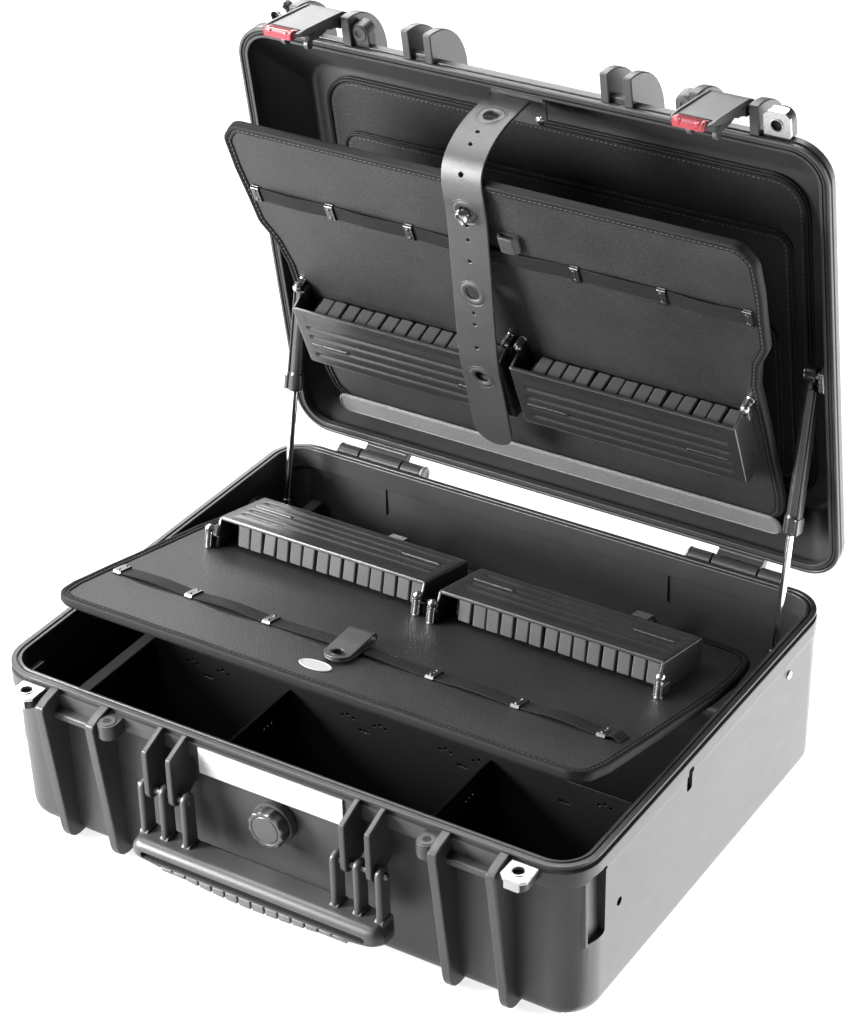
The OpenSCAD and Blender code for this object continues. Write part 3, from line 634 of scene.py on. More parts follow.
def cut(geo, tools, op="DIFFERENCE", self_=False):
    """Boolean of one geometry with several others, one after another."""
    o = obj_of(geo)
    bm = bmesh.new()
    bm.from_mesh(o.data)
    bmesh.ops.recalc_face_normals(bm, faces=bm.faces)
    bm.to_mesh(o.data)
    bm.free()
    extra = []
    for t in tools:
        q = obj_of(t)
        b2 = bmesh.new()
        b2.from_mesh(q.data)
        bmesh.ops.recalc_face_normals(b2, faces=b2.faces)
        b2.to_mesh(q.data)
        b2.free()
        m = o.modifiers.new("b", "BOOLEAN")
        m.operation = op
        m.solver = "EXACT"
        m.use_self = self_
        m.object = q
        extra.append(q)
    dg = bpy.context.evaluated_depsgraph_get()
    me = bpy.data.meshes.new_from_object(o.evaluated_get(dg))
    bm = bmesh.new()
    bm.from_mesh(me)
    bmesh.ops.remove_doubles(bm, verts=bm.verts, dist=1e-4)
    bmesh.ops.dissolve_degenerate(bm, edges=bm.edges, dist=1e-4)
    g = from_bm(bm)
    for q in [o, *extra]:
        bpy.data.objects.remove(q)
    bpy.data.meshes.remove(me)
    return g


MADE = {}


def make(name, geo, mat, body, rep=(), m=IDM, sharp=32, wn=True, soft=False):
    """One finished piece from mm geometry, placed by m, riding on body and standing for the CAD nodes in rep."""
    b = Build().add((geo.v, geo.f) if isinstance(geo, Build) else geo, m)
    o = obj_of((b.v, b.f), name, 0.001)
    bm = bmesh.new()
    bm.from_mesh(o.data)
    bmesh.ops.recalc_face_normals(bm, faces=bm.faces)
    bm.to_mesh(o.data)
    bm.free()
    o.data.materials.append(M[mat])
    o.data.shade_smooth()
    if not soft:
        o.data.set_sharp_from_angle(angle=radians(sharp))
        if wn:
            w_ = o.modifiers.new("wn", "WEIGHTED_NORMAL")
            w_.keep_sharp = True
            w_.weight = 60
    for r in rep:
        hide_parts(r)
    if body:
        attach(o, body)
    MADE[name] = o
    return o

# ------------------------------------------------------------ base shell
def base_levels():
    L = []
    for i in range(7):
        a = radians(-90 + 15 * i)
        k = 13 * (1 - cos(a))
        L.append((256.5 - k, -193 + k, 197 - k, 28 - k, 13 + 13 * sin(a)))
    L += [(258.6, -195.4, 199.4, 29.8, 120), (258.9, -195.8, 199.8, 30, 125.4), (259.2, -199.4, 200.2, 31, 125.7), (259.8, -200.7, 200.8, 31.8, 126.3), (260, -201, 201, 32, 127.2), (260, -201, 201, 32, 137.8),
          (259.7, -200.7, 200.7, 31.7, 138.7), (259, -200, 200, 31, 139), (257.2, -198.2, 198.2, 29.2, 139.6), (257.2, -198.2, 198.2, 29.2, 142.4), (259.2, -200.2, 200.2, 31.2, 143),
          (259.6, -200.6, 200.6, 31.6, 143.5), (259.6, -200.6, 200.6, 31.6, 144.2), (259.3, -200.3, 200.3, 31.3, 144.8), (258.6, -199.6, 199.6, 30.6, 145)]
    L += [(255.6, -196.6, 196.6, 27.6, 145), (255.2, -196.2, 196.2, 27.2, 144.6), (255.1, -196.1, 196.1, 27.1, 143.8), (254.7, -195.7, 195.7, 26.7, 143.4),
          (254, -195, 195, 26, 143.4), (253.7, -194.7, 194.7, 25.7, 143.8), (253.6, -194.6, 194.6, 25.6, 144.6), (253.2, -194.2, 194.2, 25.2, 145)]
    L += [(251.8, -192.8, 192.8, 23.8, 145), (251.2, -192.2, 192.2, 23.2, 144.6), (251, -192, 192, 23, 144), (251, -192, 192, 23, 126.8), (251.4, -192, 192.4, 23, 126.1), (254.6, -191.2, 195.6, 23, 126)]
    L += [(255, -191, 196, 23, 124), (252.4, -188.4, 193.4, 22.4, 14)]
    for i in range(1, 6):
        a = radians(18 * i)
        k = 9 * (1 - cos(a))
        L.append((252.2 - k, -188.2 + k, 193.2 - k, max(22 - k, 8), 13 - 9 * sin(a)))
    return L


def tub():
    rings = [ring4(*l, n=10) for l in base_levels()]
    return loft(rings, (True, True))


def both(geo):
    return merged(geo, moved(geo, MIRX))


RIBX, POSTX, FINX = (152, 200), (77, 99), (67, 87, 106)
shell = tub()
pads, cuts = [], []
for s in (-1, 1):
    mm = IDM if s > 0 else MIRX
    pads += [moved(box((W2 - 13, -D2 + 17.5, 66), (W2 - (5 if s > 0 else 7), -D2 + 44, 134 - 8), 1.5), mm), moved(box((W2 - 11, -42, 106), (W2 - 4, -28, 125.5), 1), mm),
             moved(moved(rod(8, 8, 1), TR(W2 - 12, -140, 81) @ AX), mm)]
    # tall recess: a stepped slot, rounded at its far side; small slot; blind hole; groove floor
    cuts += [moved(moved(prism(rrect(-D2 + 20, 68, -D2 + 40, 130, 3), 14, 0.0), TR(W2 - 8, 0, 0) @ CYC), mm),
             moved(moved(prism(rrect(-39, 111, -31, 132, 2.4), 14, 0.0), TR(W2 - 8, 0, 0) @ CYC), mm),
             moved(moved(rod(3.6, 14, 0.0001, 28), TR(W2 - 8, -140, 81) @ AX), mm)]
for x in (-156, 119):
    cuts.append(box((x - 2, D2 - 6.6, 98), (x + 2, D2 - 3.6, 134), 0))
cuts.append(moved(rod(9, 30, 0.0001, 48), TR(0, -D2 - 10, 92) @ AY))
shell = cut(shell, [merged(pads[0], pads[3]), merged(pads[1], pads[4]), merged(pads[2], pads[5])], "UNION")
shell = cut(shell, [merged(*[c for c in cuts])])
parts = [shell]
add = []
for s in (-1, 1):
    mm = IDM if s > 0 else MIRX

    def A(g):
        add.append(moved(g, mm))
    for x in RIBX:
        A(slab_x(x - 4, 8, [(-D2 + 16, 14), (-D2 + 16, 1.6), (-D2 + 6, 1.3), (-D2 + 1, 2.4), (-D2 - 2.8, 5.4), (-D2 - 5, 9.5), (-D2 - 6.3, 15), (-D2 - 21, 133), (-D2 - 20, 137), (-D2 - 13, 140.3), (-D2 - 1, 143.2), (-D2 + 8, 143.2)], 1.3, 3))
    A(moved(box((RIBX[0], -D2 - 8, H - 24), (RIBX[1], -D2 + 6, H - 18), 1.4, 3), IDM))
    for x in POSTX:
        A(slab_x(x - 2.5, 5, [(-D2 + 8, 143.2), (-D2 - 2, 143.2), (-D2 - 22, 134.6), (-D2 - 23, 132), *arc(PY, PZ, 7, 180, 300, 10), (-D2 - 9, 88), (-D2 + 8, 100)], 1.1, 3))
    A(merged(box((209, -D2 - 14, H - 15), (227, -D2 + 4, H - 5.6), 1.6, 3), moved(rod(9, 9.4, 1.4, 40), TR(218, -D2 - 11.4, H - 15))))
    A(merged(moved(rod(8, 13, 1.2, 40), TR(142, -D2 - 10, H - 19)), box((134, -D2 - 10, H - 19), (151, -D2 + 4, H - 6), 1.2, 2)))
    for x in (171 - 41.5, 171 + 21.5):
        A(moved(rod(7.5, 20, 0.9, 48), TR(x, HY, HZ) @ AX))
        A(slab_x(x, 20, [(D2 - 3, 122), (D2 - 3, 138.4), (D2 + 5, 139), (HY, HZ), (D2 + 17, 135), (D2 + 14, 131.5)], 1.0, 2))
add.append(box((-68, -D2 + 0.2, 112), (68, -D2 + 8, 139), 1.5, 3))
base_geo = merged(shell, *add)
make("base_moulding", base_geo, "shell", "base", ["base_shell"], sharp=38)

# rings at the front bores, and dark discs inside them as painted shade for the bores' depth, so that the bosses read as
# bored
def ring_insert(x, z0, z1, r0, r1, y=-D2 - 10):
    return moved(rod(r1, z1 - z0, 0.35, 36, r0), TR(x, y, z0))


make("boss_rims", both(merged(ring_insert(142, H - 6.2, H - 5.2, 3.2, 6.4))), "fitting", "base")
# painted shade: dark discs in the bores
make("boss_bore_shade_discs", both(moved(lathe([(0, 0), (3.15, 0), (3.15, 0.25), (0, 0.25)], 28), TR(142, -D2 - 10, H - 5.6))), "seal", "base")

# padlock plates: stamped squares with the front edge folded over the boss
def plate_geo():
    outer = fillet([(207 + 4, -D2 - 22.3), (229 - 4, -D2 - 22.3), (229, -D2 - 18.5), (229, -D2 - 1.6), (207, -D2 - 1.6), (207, -D2 - 18.5)], 1.2, 3)
    hole = [(218 + 4.5 * cos(2 * pi * i / 36), -D2 - 11.5 + 4.5 * sin(2 * pi * i / 36)) for i in range(36)]
    p = plate2d(outer, [hole], 2.4, 0.45, 0.05, 3)
    tab = slab_x(212, 12, fillet([(-D2 - 22.4, -6.8), (-D2 - 20, -6.8), (-D2 - 20, 0.6), (-D2 - 19.2, 0.6), (-D2 - 19.2, 2.2), (-D2 - 22.4, 2.2)], [0.8, 0.5, 0.3, 0, 0, 1.8], 4), 0.5, 3)
    lip = moved(rod(5.3, 1.0, 0.3, 40, 4.5), TR(218, -D2 - 11.5, 2.2))
    return merged(p, tab, lip)


PG = plate_geo()
make("base_plates", both(moved(PG, TR(0, 0, H - 5.5))), "steel", "base", ["base_corner_plates"])
make("lid_plates", both(moved(PG, TR(0, 0, 2 * H + 5.5) @ Matrix.Diagonal((1, 1, -1, 1)) @ TR(0, 0, H))), "steel", "lid", ["lid_corner_plates"], LIDM)
# painted shade: dark discs under the plates' padlock holes stand in for the holes' depth
plate_hole_shade_disc = moved(lathe([(0, 0), (4.4, 0), (4.4, 0.3), (0, 0.3)], 32), TR(218, -D2 - 11.5, 0))
make("base_plate_hole_shade", both(moved(plate_hole_shade_disc, TR(0, 0, H - 5.9))), "seal", "base")
make("lid_plate_hole_shade", both(moved(plate_hole_shade_disc, TR(0, 0, H + 5.6))), "seal", "lid", m=LIDM)

# blank label plate with a fine frame and three ruled lines
lab = [box((-64.5, -D2 - 1.9, 115), (64.5, -D2 - 0.1, 138), 0.5, 2)]
make("label", lab[0], "label", "base", ["label_plate"])
lines = [box((-61, -D2 - 2.0, z), (61, -D2 - 1.85, z + 0.6), 0.05, 1) for z in (120.4, 125.8, 131.2, 135.6)] + \
        [box((x, -D2 - 2.0, 117.2), (x + 0.35, -D2 - 1.85, 135.8), 0.05, 1) for x in (-61.3, 60.9)]
make("label_rules", merged(*lines), "caps", "base")

# pressure valve
vb = lathe([(9, -7), (9, 0), (16.2, 0), (17.1, 0.3), (17.5, 1), (17.5, 6), (17.1, 6.7), (16.2, 7), (6.2, 7), (6.1, 1), (0, 1)], 56)
make("valve_seat", moved(vb, TR(0, -D2 + 5.3, 92) @ Matrix.Rotation(pi / 2, 4, "X")), "fitting", "base", ["valve_body"])


def knob():
    rings, n = [], 144
    prof = [(15.2, 0.2, .5), (16.2, 1.2, 1), (16.3, 2, 1), (16.3, 7.2, 1), (15.9, 8.3, 1), (15.0, 8.9, .8), (13.6, 9.0, .3), (12.6, 9.0, 0), (12.2, 8.5, 0), (11.4, 8.4, 0), (10.9, 8.9, 0), (10.4, 9.0, 0), (5, 9.05, 0), (0.6, 9.1, 0)]
    for r, z, k in prof:
        rings.append([((r - 1.25 * k * (0.5 + 0.5 * cos(12 * a)) ** 0.7) * cos(a), (r - 1.25 * k * (0.5 + 0.5 * cos(12 * a)) ** 0.7) * sin(a), z) for a in [2 * pi * i / n for i in range(n)]])
    return merged(loft(rings), moved(rod(6, 5.6, 0.4, 40), TR(0, 0, -5.4)))


make("valve_wheel", moved(knob(), TR(0, -D2 - 2.2, 92) @ Matrix.Rotation(pi / 2, 4, "X")), "fitting", "valve_knob", ["valve_knob"], sharp=28)


# ------------------------------------------------------------ handle
def handle_ring(x):
    ax = abs(x)
    zb = 43.5 - 10.5 * cos(radians(x * 90 / 114))
    zt = 57 if ax <= 108 else 57 - (ax - 108) * 1.5
    e = 0 if ax <= 102 else 12 - math.sqrt(max(0, 144 - (ax - 102) ** 2))
    y0, y1 = -D2 - 35 + e, -D2 - 6 - e
    w_, h_ = y1 - y0, zt - zb
    rf, rb, rl = min(8.5, w_ * .45, h_ * .6), min(5, w_ * .45, h_ * .35), min(3, w_ * .3, h_ * .3)
    pts = []
    for cy, cz, r, a in ((y1 - rb, zt - rb, rb, 0), (y0 + rf, zt - rf, rf, 90), (y0 + rl, zb + rl, rl, 180), (y1 - rl, zb + rl, rl, 270)):
        pts += [(x, cy + r * cos(radians(a + 15 * i)), cz + r * sin(radians(a + 15 * i))) for i in range(7)]
    return pts


xs = [-113.6, -113, -112, -110.5, -108.5, -106, -103] + [-100 + 8 * i for i in range(26)] + [103, 106, 108.5, 110.5, 112, 113, 113.6]
bar = loft([handle_ring(x) for x in xs])
slot_cut = moved(prism(rrect(-101, 43.9, 101, 49.5, 2.7, 6), 14, 0), TR(0, -D2 - 40, 0) @ SWP)
seat_cut = box((-84, -D2 - 40, 20), (84, -D2 - 26, 42.4), 0)
bar = cut(bar, [slot_cut, seat_cut])
fing = []
for s in (-1, 1):
    for x in FINX:
        g = slab_x(s * x - 2.75, 5.5, [(PY - 7, 50), (PY + 7, 50), (PY + 7, PZ), *arc(PY, PZ, 7, 12, 168, 10), (PY - 7, PZ)], 2.3, 4)
        fing.append(g)
        # root flare where the finger meets the bar
        fing.append(slab_x(s * x - 4, 8, [(PY - 8, 49), (PY + 8, 49), (PY + 7.5, 57), (PY + 5, 60), (PY - 5, 60), (PY - 7.5, 57)], 1.2, 2))
webs = [box((s * 88 - 22 if s > 0 else -110, PY - 4, 52), (110 if s > 0 else -66, PY + 5, 60), 1.5, 2) for s in (-1, 1)]
make("handle_bar", merged(bar, *fing), "fitting", "handle", ["handle"], sharp=40)
# painted shade: dark sheets on the floor and back of the handle's slot
make("handle_slot_shade_sheets", merged(box((-100.4, -D2 - 34.2, 43.7), (100.4, -D2 - 26, 44.5), 0.2, 1), box((-100.4, -D2 - 27, 44.3), (100.4, -D2 - 25.7, 49.2), 0.2, 1)), "seal", "handle")
seg = []
for i in range(-7, 7):
    x0, x1 = i * 12 + 0.7, i * 12 + 11.3
    rg = []
    for x in (x0, x0 + .25, x0 + .8, (x0 + x1) / 2, x1 - .8, x1 - .25, x1):
        d = {0: .9, 1: .35, 2: 0}.get(min([x0, x0 + .25, x0 + .8].index(x) if x in (x0, x0 + .25, x0 + .8) else 2, 2), 0) if x < (x0 + x1) / 2 else {x1: .9, x1 - .25: .35}.get(x, 0)
        zb = 43.9 - 10.5 * cos(radians(x * 90 / 114))
        rg.append([(x, -D2 - 27, 42.2), (x, -D2 - 34 + d, 42.2), (x, -D2 - 34.8 + d, 41.4), (x, -D2 - 34.8 + d, zb + 2.4 + d), (x, -D2 - 34 + d, zb + .7 + d), (x, -D2 - 32 + d, zb + d), (x, -D2 - 27, zb + d)])
    seg.append(loft(rg))
seg.append(box((-83.6, -D2 - 32.4, 36), (83.6, -D2 - 26.2, 42.1), 0.3, 1))
make("grip_pads", merged(*seg), "grip", "handle", ["handle_grip"], sharp=40)
pin = lathe([(0, 0), (1.6, .15), (2.6, .8), (3, 1.8), (3, 46.7), (2.6, 47.7), (1.6, 48.35), (0, 48.5)], 32)
make("handle_axles", both(moved(pin, TR(63.5, PY, PZ) @ AX)), "steel_dark", "base", ["handle_pins"])

# ------------------------------------------------------------ hinges
make("hinge_rods", both(moved(rod(2.95, 83, .4, 32), TR(171 - 41.5, HY, HZ) @ AX)), "steel", "base", ["hinge_pins"])
cap = lathe([(0, 0), (7.4, 0), (7.9, .5), (7.9, 1.4), (6.6, 2.8), (6.2, 3), (3.4, 3), (3.0, 2.5), (0, 2.4)], 48)
make("hinge_end_caps", both(merged(moved(cap, TR(171 + 41.5, HY, HZ) @ AX), moved(cap, TR(171 - 41.5, HY, HZ) @ AX @ Matrix.Diagonal((1, 1, -1, 1))))), "caps", "base", ["hinge_caps"])

# ------------------------------------------------------------ inside the base
br = []
pl = fillet([(SLY - 8.5, SLZ - 8), (SLY + 8, SLZ - 8), (SLY + 8, SLZ + 3), (131 + 7, 113.6 + 7), (131 - 7, 113.6 + 7), (131 - 8, 113.6 - 3)], 3.5, 4)
br.append(slab_x(W2 - 8.6, 2.5, ccw(pl), 0.5, 2))
br.append(moved(rod(4, 12.9, .5, 32), TR(SX + 4.6, SLY, SLZ) @ AX))
br.append(moved(rod(6.3, 1.6, .4, 32), TR(W2 - 10.2, SLY, SLZ) @ AX))
br.append(moved(rod(2.5, 8.2, .3, 24), TR(W2 - 8.2, 131, 113.6) @ AX))
br.append(moved(lathe([(0, 0), (3.6, 0), (3.4, .6), (2.4, 1.15), (0, 1.35)], 32), TR(W2 - 1.1, 131, 113.6) @ AX))
make("strut_feet", both(merged(*br)), "steel", "base", ["strut_base_brackets"])
make("side_wall_sheet", slab_y(-186, 372, fillet([(-218, 5.5), (-218, 98), (-229, 98), (-229, 95.6), (-220.4, 95.6), (-220.4, 5.5)], [0, 1.6, 1.0, .4, .8, 0], 3), 0.35, 2), "side_divider", "base", ["divider_side"])
holes = [[(x + i + 1.25 * cos(2 * pi * k / 12), 88 + (2.2 if i == 0 else 0) + 1.25 * sin(2 * pi * k / 12)) for k in range(12)] for x in (-180, -150, -30, 0, 60, 90, 200) for i in (-5, 0, 5)]
slots_ = [rrect(x - 5, 78, x + 5, 80.4, 1.1, 3) for x in (-165, -15, 75, 165)]
dl = plate2d(rrect(-217.4, 5.6, 247.4, 100, 2.2, 4), holes + slots_, 2.8, 0.4, 0.1, 2)
make("long_divider", moved(dl, TR(0, -57.5, 0) @ SWP), "divider", "base", ["divider_long"])
dc = []
for x in (-85, 100):
    hh = [[(y + i + 1.2 * cos(2 * pi * k / 12), 80 + 1.2 * sin(2 * pi * k / 12)) for k in range(12)] for y in (-150, -90) for i in (-5, 0, 5)]
    g = plate2d(rrect(-185.9, 5.6, -57.9, 95.4, 2.2, 4), hh, 2.8, 0.4, 0.1, 2)
    dc.append(moved(g, TR(x - 1.5, 0, 0) @ CYC))
make("cross_dividers", merged(*dc), "divider", "base", ["dividers_cross"])
hb = []
lbz = LAZ
hb.append(box((104, D2 - 9.1, lbz - 14), (132, D2 - 7.2, lbz + 6), 0.6, 2))
for x in (106, 127):
    hb.append(slab_x(x, 3, [*arc(LAY, lbz, 5.5, 90, 270, 10), (D2 - 8.6, lbz - 5.5), (D2 - 8.6, lbz + 5.5)], 0.5, 2))
hb.append(moved(rod(2.5, 29, .4, 28), TR(103.6, LAY, lbz) @ AX))
for zz in (lbz - 10, lbz + 2.5):
    hb.append(moved(lathe([(0, 0), (2.6, 0), (2.3, .7), (1.4, 1.2), (0, 1.35)], 24), TR(118, D2 - 9.1, zz) @ Matrix.Rotation(pi / 2, 4, "X")))
make("board_hinge_feet", both(merged(*hb)), "steel", "base", ["board_hinge_brackets"])


# ------------------------------------------------------------ lid shell
def lid_levels():
    L = []
    # outside, from the middle of the top face down to the rim
    for i in range(3):
        a = radians(90 - 15 * i)
        k = 12 * (1 - cos(a))
        L.append((237 - k, -150 + k, 185 - k, 30 - k, H + 46 + 12 * sin(a)))
    L += [(233.5, -146.6, 181.5, 26.5, H + 54.5), (235.4, -149.8, 183.4, 28.4, H + 52), (240.6, -161, 187, 29.4, H + 43), (248.1, -177.6, 192.3, 30, H + 30), (257.3, -197.6, 198.5, 30, H + 14.1), (257.8, -198.9, 198.9, 30, H + 13)]
    L += [(258.6, -199.7, 199.7, 30.8, H + 12.6), (259, -200, 200, 31, H + 12), (259, -200, 200, 31, H + 6.6), (257.6, -198.6, 198.6, 30, H + 6), (257.2, -198.2, 198.2, 29.6, H + 5.6), (257.2, -198.2, 198.2, 29.6, H + 3.4),
          (259, -200.1, 200.1, 31.1, H + 3), (259.6, -200.6, 200.6, 31.6, H + 2.6), (259.6, -200.6, 200.6, 31.6, H + 0.8), (259.3, -200.3, 200.3, 31.3, H + 0.2), (258.7, -199.7, 199.7, 30.7, H)]
    # rim face: outer band, seal groove, inner band
    L += [(257.4, -198.4, 198.4, 29.4, H), (257, -198, 198, 29, H + .4), (257, -198, 198, 29, H + 3.4), (253.6, -194.6, 194.6, 25.6, H + 3.4), (253.6, -194.6, 194.6, 25.6, H + .4), (253.3, -194.3, 194.3, 25.3, H)]
    L += [(251.7, -192.7, 192.7, 23.7, H), (251.1, -192.1, 192.1, 23.1, H + .4), (251, -192, 192, 23, H + 1), (251, -192, 192, 23, H + 5.4), (251.5, -192.5, 192.5, 23.2, H + 6), (253.6, -194.6, 194.6, 25.6, H + 6.1), (254, -195, 195, 26, H + 7)]
    L += [(253.8, -194.6, 194.8, 26, H + 13)]
    L += [(243.6, -170.3, 188, 25, H + 33), (234.2, -147.6, 181.4, 24, H + 50), (232.8, -145, 180.4, 23, H + 52), (230.5, -143, 178, 21, H + 53.6), (226.5, -139.5, 174, 18, H + 54)]
    return L


lid_geo = loft([ring4(*l, n=10) for l in lid_levels()], (True, True))
ladd = []
for s in (-1, 1):
    mm = IDM if s > 0 else MIRX

    def A(g):
        ladd.append(moved(g, mm))
    disc = [(-D2 + 3, H + 2.2), (-D2 + 3, H + 12.4), (-D2 + 40, H + 42.4), *arc(-D2 + 24, H + 2, 48, 70.5, 179.5, 26)]
    for x in (POSTX[0], POSTX[1] - 2):
        A(slab_x(x - 3.5, 7, disc, 1.1, 3))
    for x in RIBX:
        A(slab_x(x - 4, 8, disc, 1.1, 3))
    # webs joining each pair of ribs at their roots
    A(box((POSTX[0], -D2 - 3.5, H + 6.5), (POSTX[1], -D2 + 3, H + 12.4), 1.2, 2))
    A(merged(box((209, -D2 - 12, H + 5.7), (227, -D2 + 3, H + 18.4), 1.6, 3), moved(rod(9, 12.7, 1.8, 40), TR(218, -D2 - 11.4, H + 5.7))))
    A(merged(moved(rod(8, 12, 1.2, 40), TR(142, -D2 - 10, H + 6)), box((134, -D2 - 10, H + 6.2), (151, -D2 + 4, H + 12.6), 1.2, 2), box((134, -D2 - 10, H + 11), (151, -D2 + 9, H + 18), 1.2, 2)))
    A(moved(rod(7.5, 41, .9, 48), TR(171 - 20.5, HY, HZ) @ AX))
    A(slab_x(171 - 20.5, 41, [(D2 - 3, H + 2.4), (D2 - 3, H + 12), (D2 + 7, H + 11), (D2 + 18, H - 3), (HY, HZ), (D2 + 5, H - 3), (D2 + 3, H + 2.4)], 1.0, 2))
for x in (-150, -75, 75, 150):
    ladd.append(box((x - 6, -110, H + LID_H - 2), (x + 6, 140, H + LID_H + 1.45), 1.4, 3))
make("lid_moulding", merged(lid_geo, *ladd), "shell", "lid", ["lid_shell"], LIDM, sharp=38)
seal = loft([ring4(256.6 - d, -197.6 + d, 197.6 - d, 29 - d, H + z) for d, z in ((0, 3.3), (0, 1.2), (.5, .7), (1.3, .45), (2.1, .7), (2.6, 1.2), (2.6, 3.3))], (False, False), True)
make("lid_gasket", seal, "seal", "lid", ["lid_seal"], LIDM, sharp=60)
make("lid_boss_rims", both(moved(rod(6.4, 1.0, .35, 36, 3.2), TR(142, -D2 - 10, H + 5.2))), "fitting", "lid", m=LIDM)
make("latch_axles", both(moved(rod(2.45, 55, .4, 28), TR(148.5, LY, LZ) @ AX)), "steel", "lid", ["latch_pins"], LIDM)
slb = [box((W2 - 13, SUY - 9, H + 7), (W2 - 9.4, SUY + 9, H + 12), .5), box((W2 - 18, SUY - 9, H + 7.1), (W2 - 13.1, SUY + 9, H + 24), .8, 2),
       moved(rod(2.95, W2 - 17 - SX + 7, .5, 28), TR(SX - 7, SUY, SUZ) @ AX), moved(rod(4.6, 1.5, .4, 28), TR(SX - 6.6, SUY, SUZ) @ AX)]
make("strut_heads", both(merged(*slb)), "steel", "lid", ["strut_lid_brackets"], LIDM)


# ------------------------------------------------------------ lid lining: padded sheets with a piped edge
def vrect(hw, v0, v1, r, n=8):
    return ccw(rrect(-hw, D2 - v1, hw, D2 - v0, r, n))


def piping(loop, z, r, k=1.0, n=10):
    return sweep([(x, y, z) for x, y in loop], circle_prof(r, n, k), (0, 0, 1), True)


def stitches(loop, z, pitch=4.2, ln=2.6, w=0.7, h=0.35, M_=IDM):
    """Short thread bars along a closed loop."""
    b = Build()
    P = [Vector((x, y, 0)) for x, y in loop]
    L = [(P[(i + 1) % len(P)] - P[i]).length for i in range(len(P))]
    tot = sum(L)
    n = int(tot / pitch)
    i, acc = 0, 0.0
    for k in range(n):
        s = k * tot / n
        while acc + L[i] < s:
            acc += L[i]
            i = (i + 1) % len(P)
        d = (P[(i + 1) % len(P)] - P[i]).normalized()
        p = P[i] + d * (s - acc)
        q = Vector((-d.y, d.x, 0))
        vs = []
        for a, bb, c in ((-ln / 2, 0, -.1), (-ln / 3, w / 2, h * .5), (ln / 3, w / 2, h * .5), (ln / 2, 0, -.1), (ln / 3, -w / 2, h * .5), (-ln / 3, -w / 2, h * .5), (-ln / 4, 0, h), (ln / 4, 0, h)):
            v = p + d * a + q * bb
            vs.append((v.x, v.y, z + c))
        b.add((vs, [(0, 6, 1), (1, 6, 7, 2), (2, 7, 3), (3, 7, 4), (4, 7, 6, 5), (5, 6, 0), (0, 1, 2, 3, 4, 5)]))
    return (b.v, b.f)


def lining(name, node, hw, v0, v1, r, w_out, t, bead, mat="panel"):
    """w_out is the height of its outer face above the closed rim plane; it faces down into the case."""
    loop = vrect(hw, v0, v1, r)
    g = plate2d(loop, [], t, 0.5, H + w_out, 2)
    lp = offset_loop(loop, bead)
    p = piping(lp, H + w_out + bead * .35, bead, 0.85)
    make(name, g, mat, "lid", [node], LIDM, sharp=50)
    make(name + "_binding", p, "binding", "lid", m=LIDM)
    st = stitches(offset_loop(loop, bead * 2.7), 0)
    st = moved(st, TR(0, 0, H + w_out) @ Matrix.Diagonal((1, 1, -1, 1)))
    make(name + "_stitches", st, "thread", "lid", m=LIDM, wn=False)


lining("lid_panel", "document_panel", 217.8, 32, 338, 30, LID_H - 7.2, 3.1, 2.7)
lining("lid_pocket", "document_pocket", 203.9, 46, 288, 16, LID_H - 9.6, 2.3, 2.1)
lining("lid_card_pocket", "card_pocket", 189.9, 56, 200, 12, LID_H - 11.3, 1.6, 1.2)
sb = merged(box((-26, -D2 + 9.3, H + 6.4), (20, -D2 + 17, H + 11.7), 1.0, 2), plate2d(fillet([(-26, -D2 + 11), (20, -D2 + 11), (20, -D2 + 33), (14, -D2 + 40), (-20, -D2 + 40), (-26, -D2 + 33)], 3, 4), [], 2.4, .5, H + 9.35, 2))
make("strap_anchor", sb, "fitting", "lid", ["strap_bracket"], LIDM)
rv = lathe([(0, 0), (1.6, .15), (3.2, .75), (4.1, 1.5), (4.2, 1.75), (2, 1.8), (2, 4.1), (0, 4.2)], 32)
make("anchor_rivets", merged(*[moved(rv, TR(x - 3, -D2 + 35, H + 7.6)) for x in (-17, 17)]), "steel", "lid", ["strap_rivets"], LIDM)


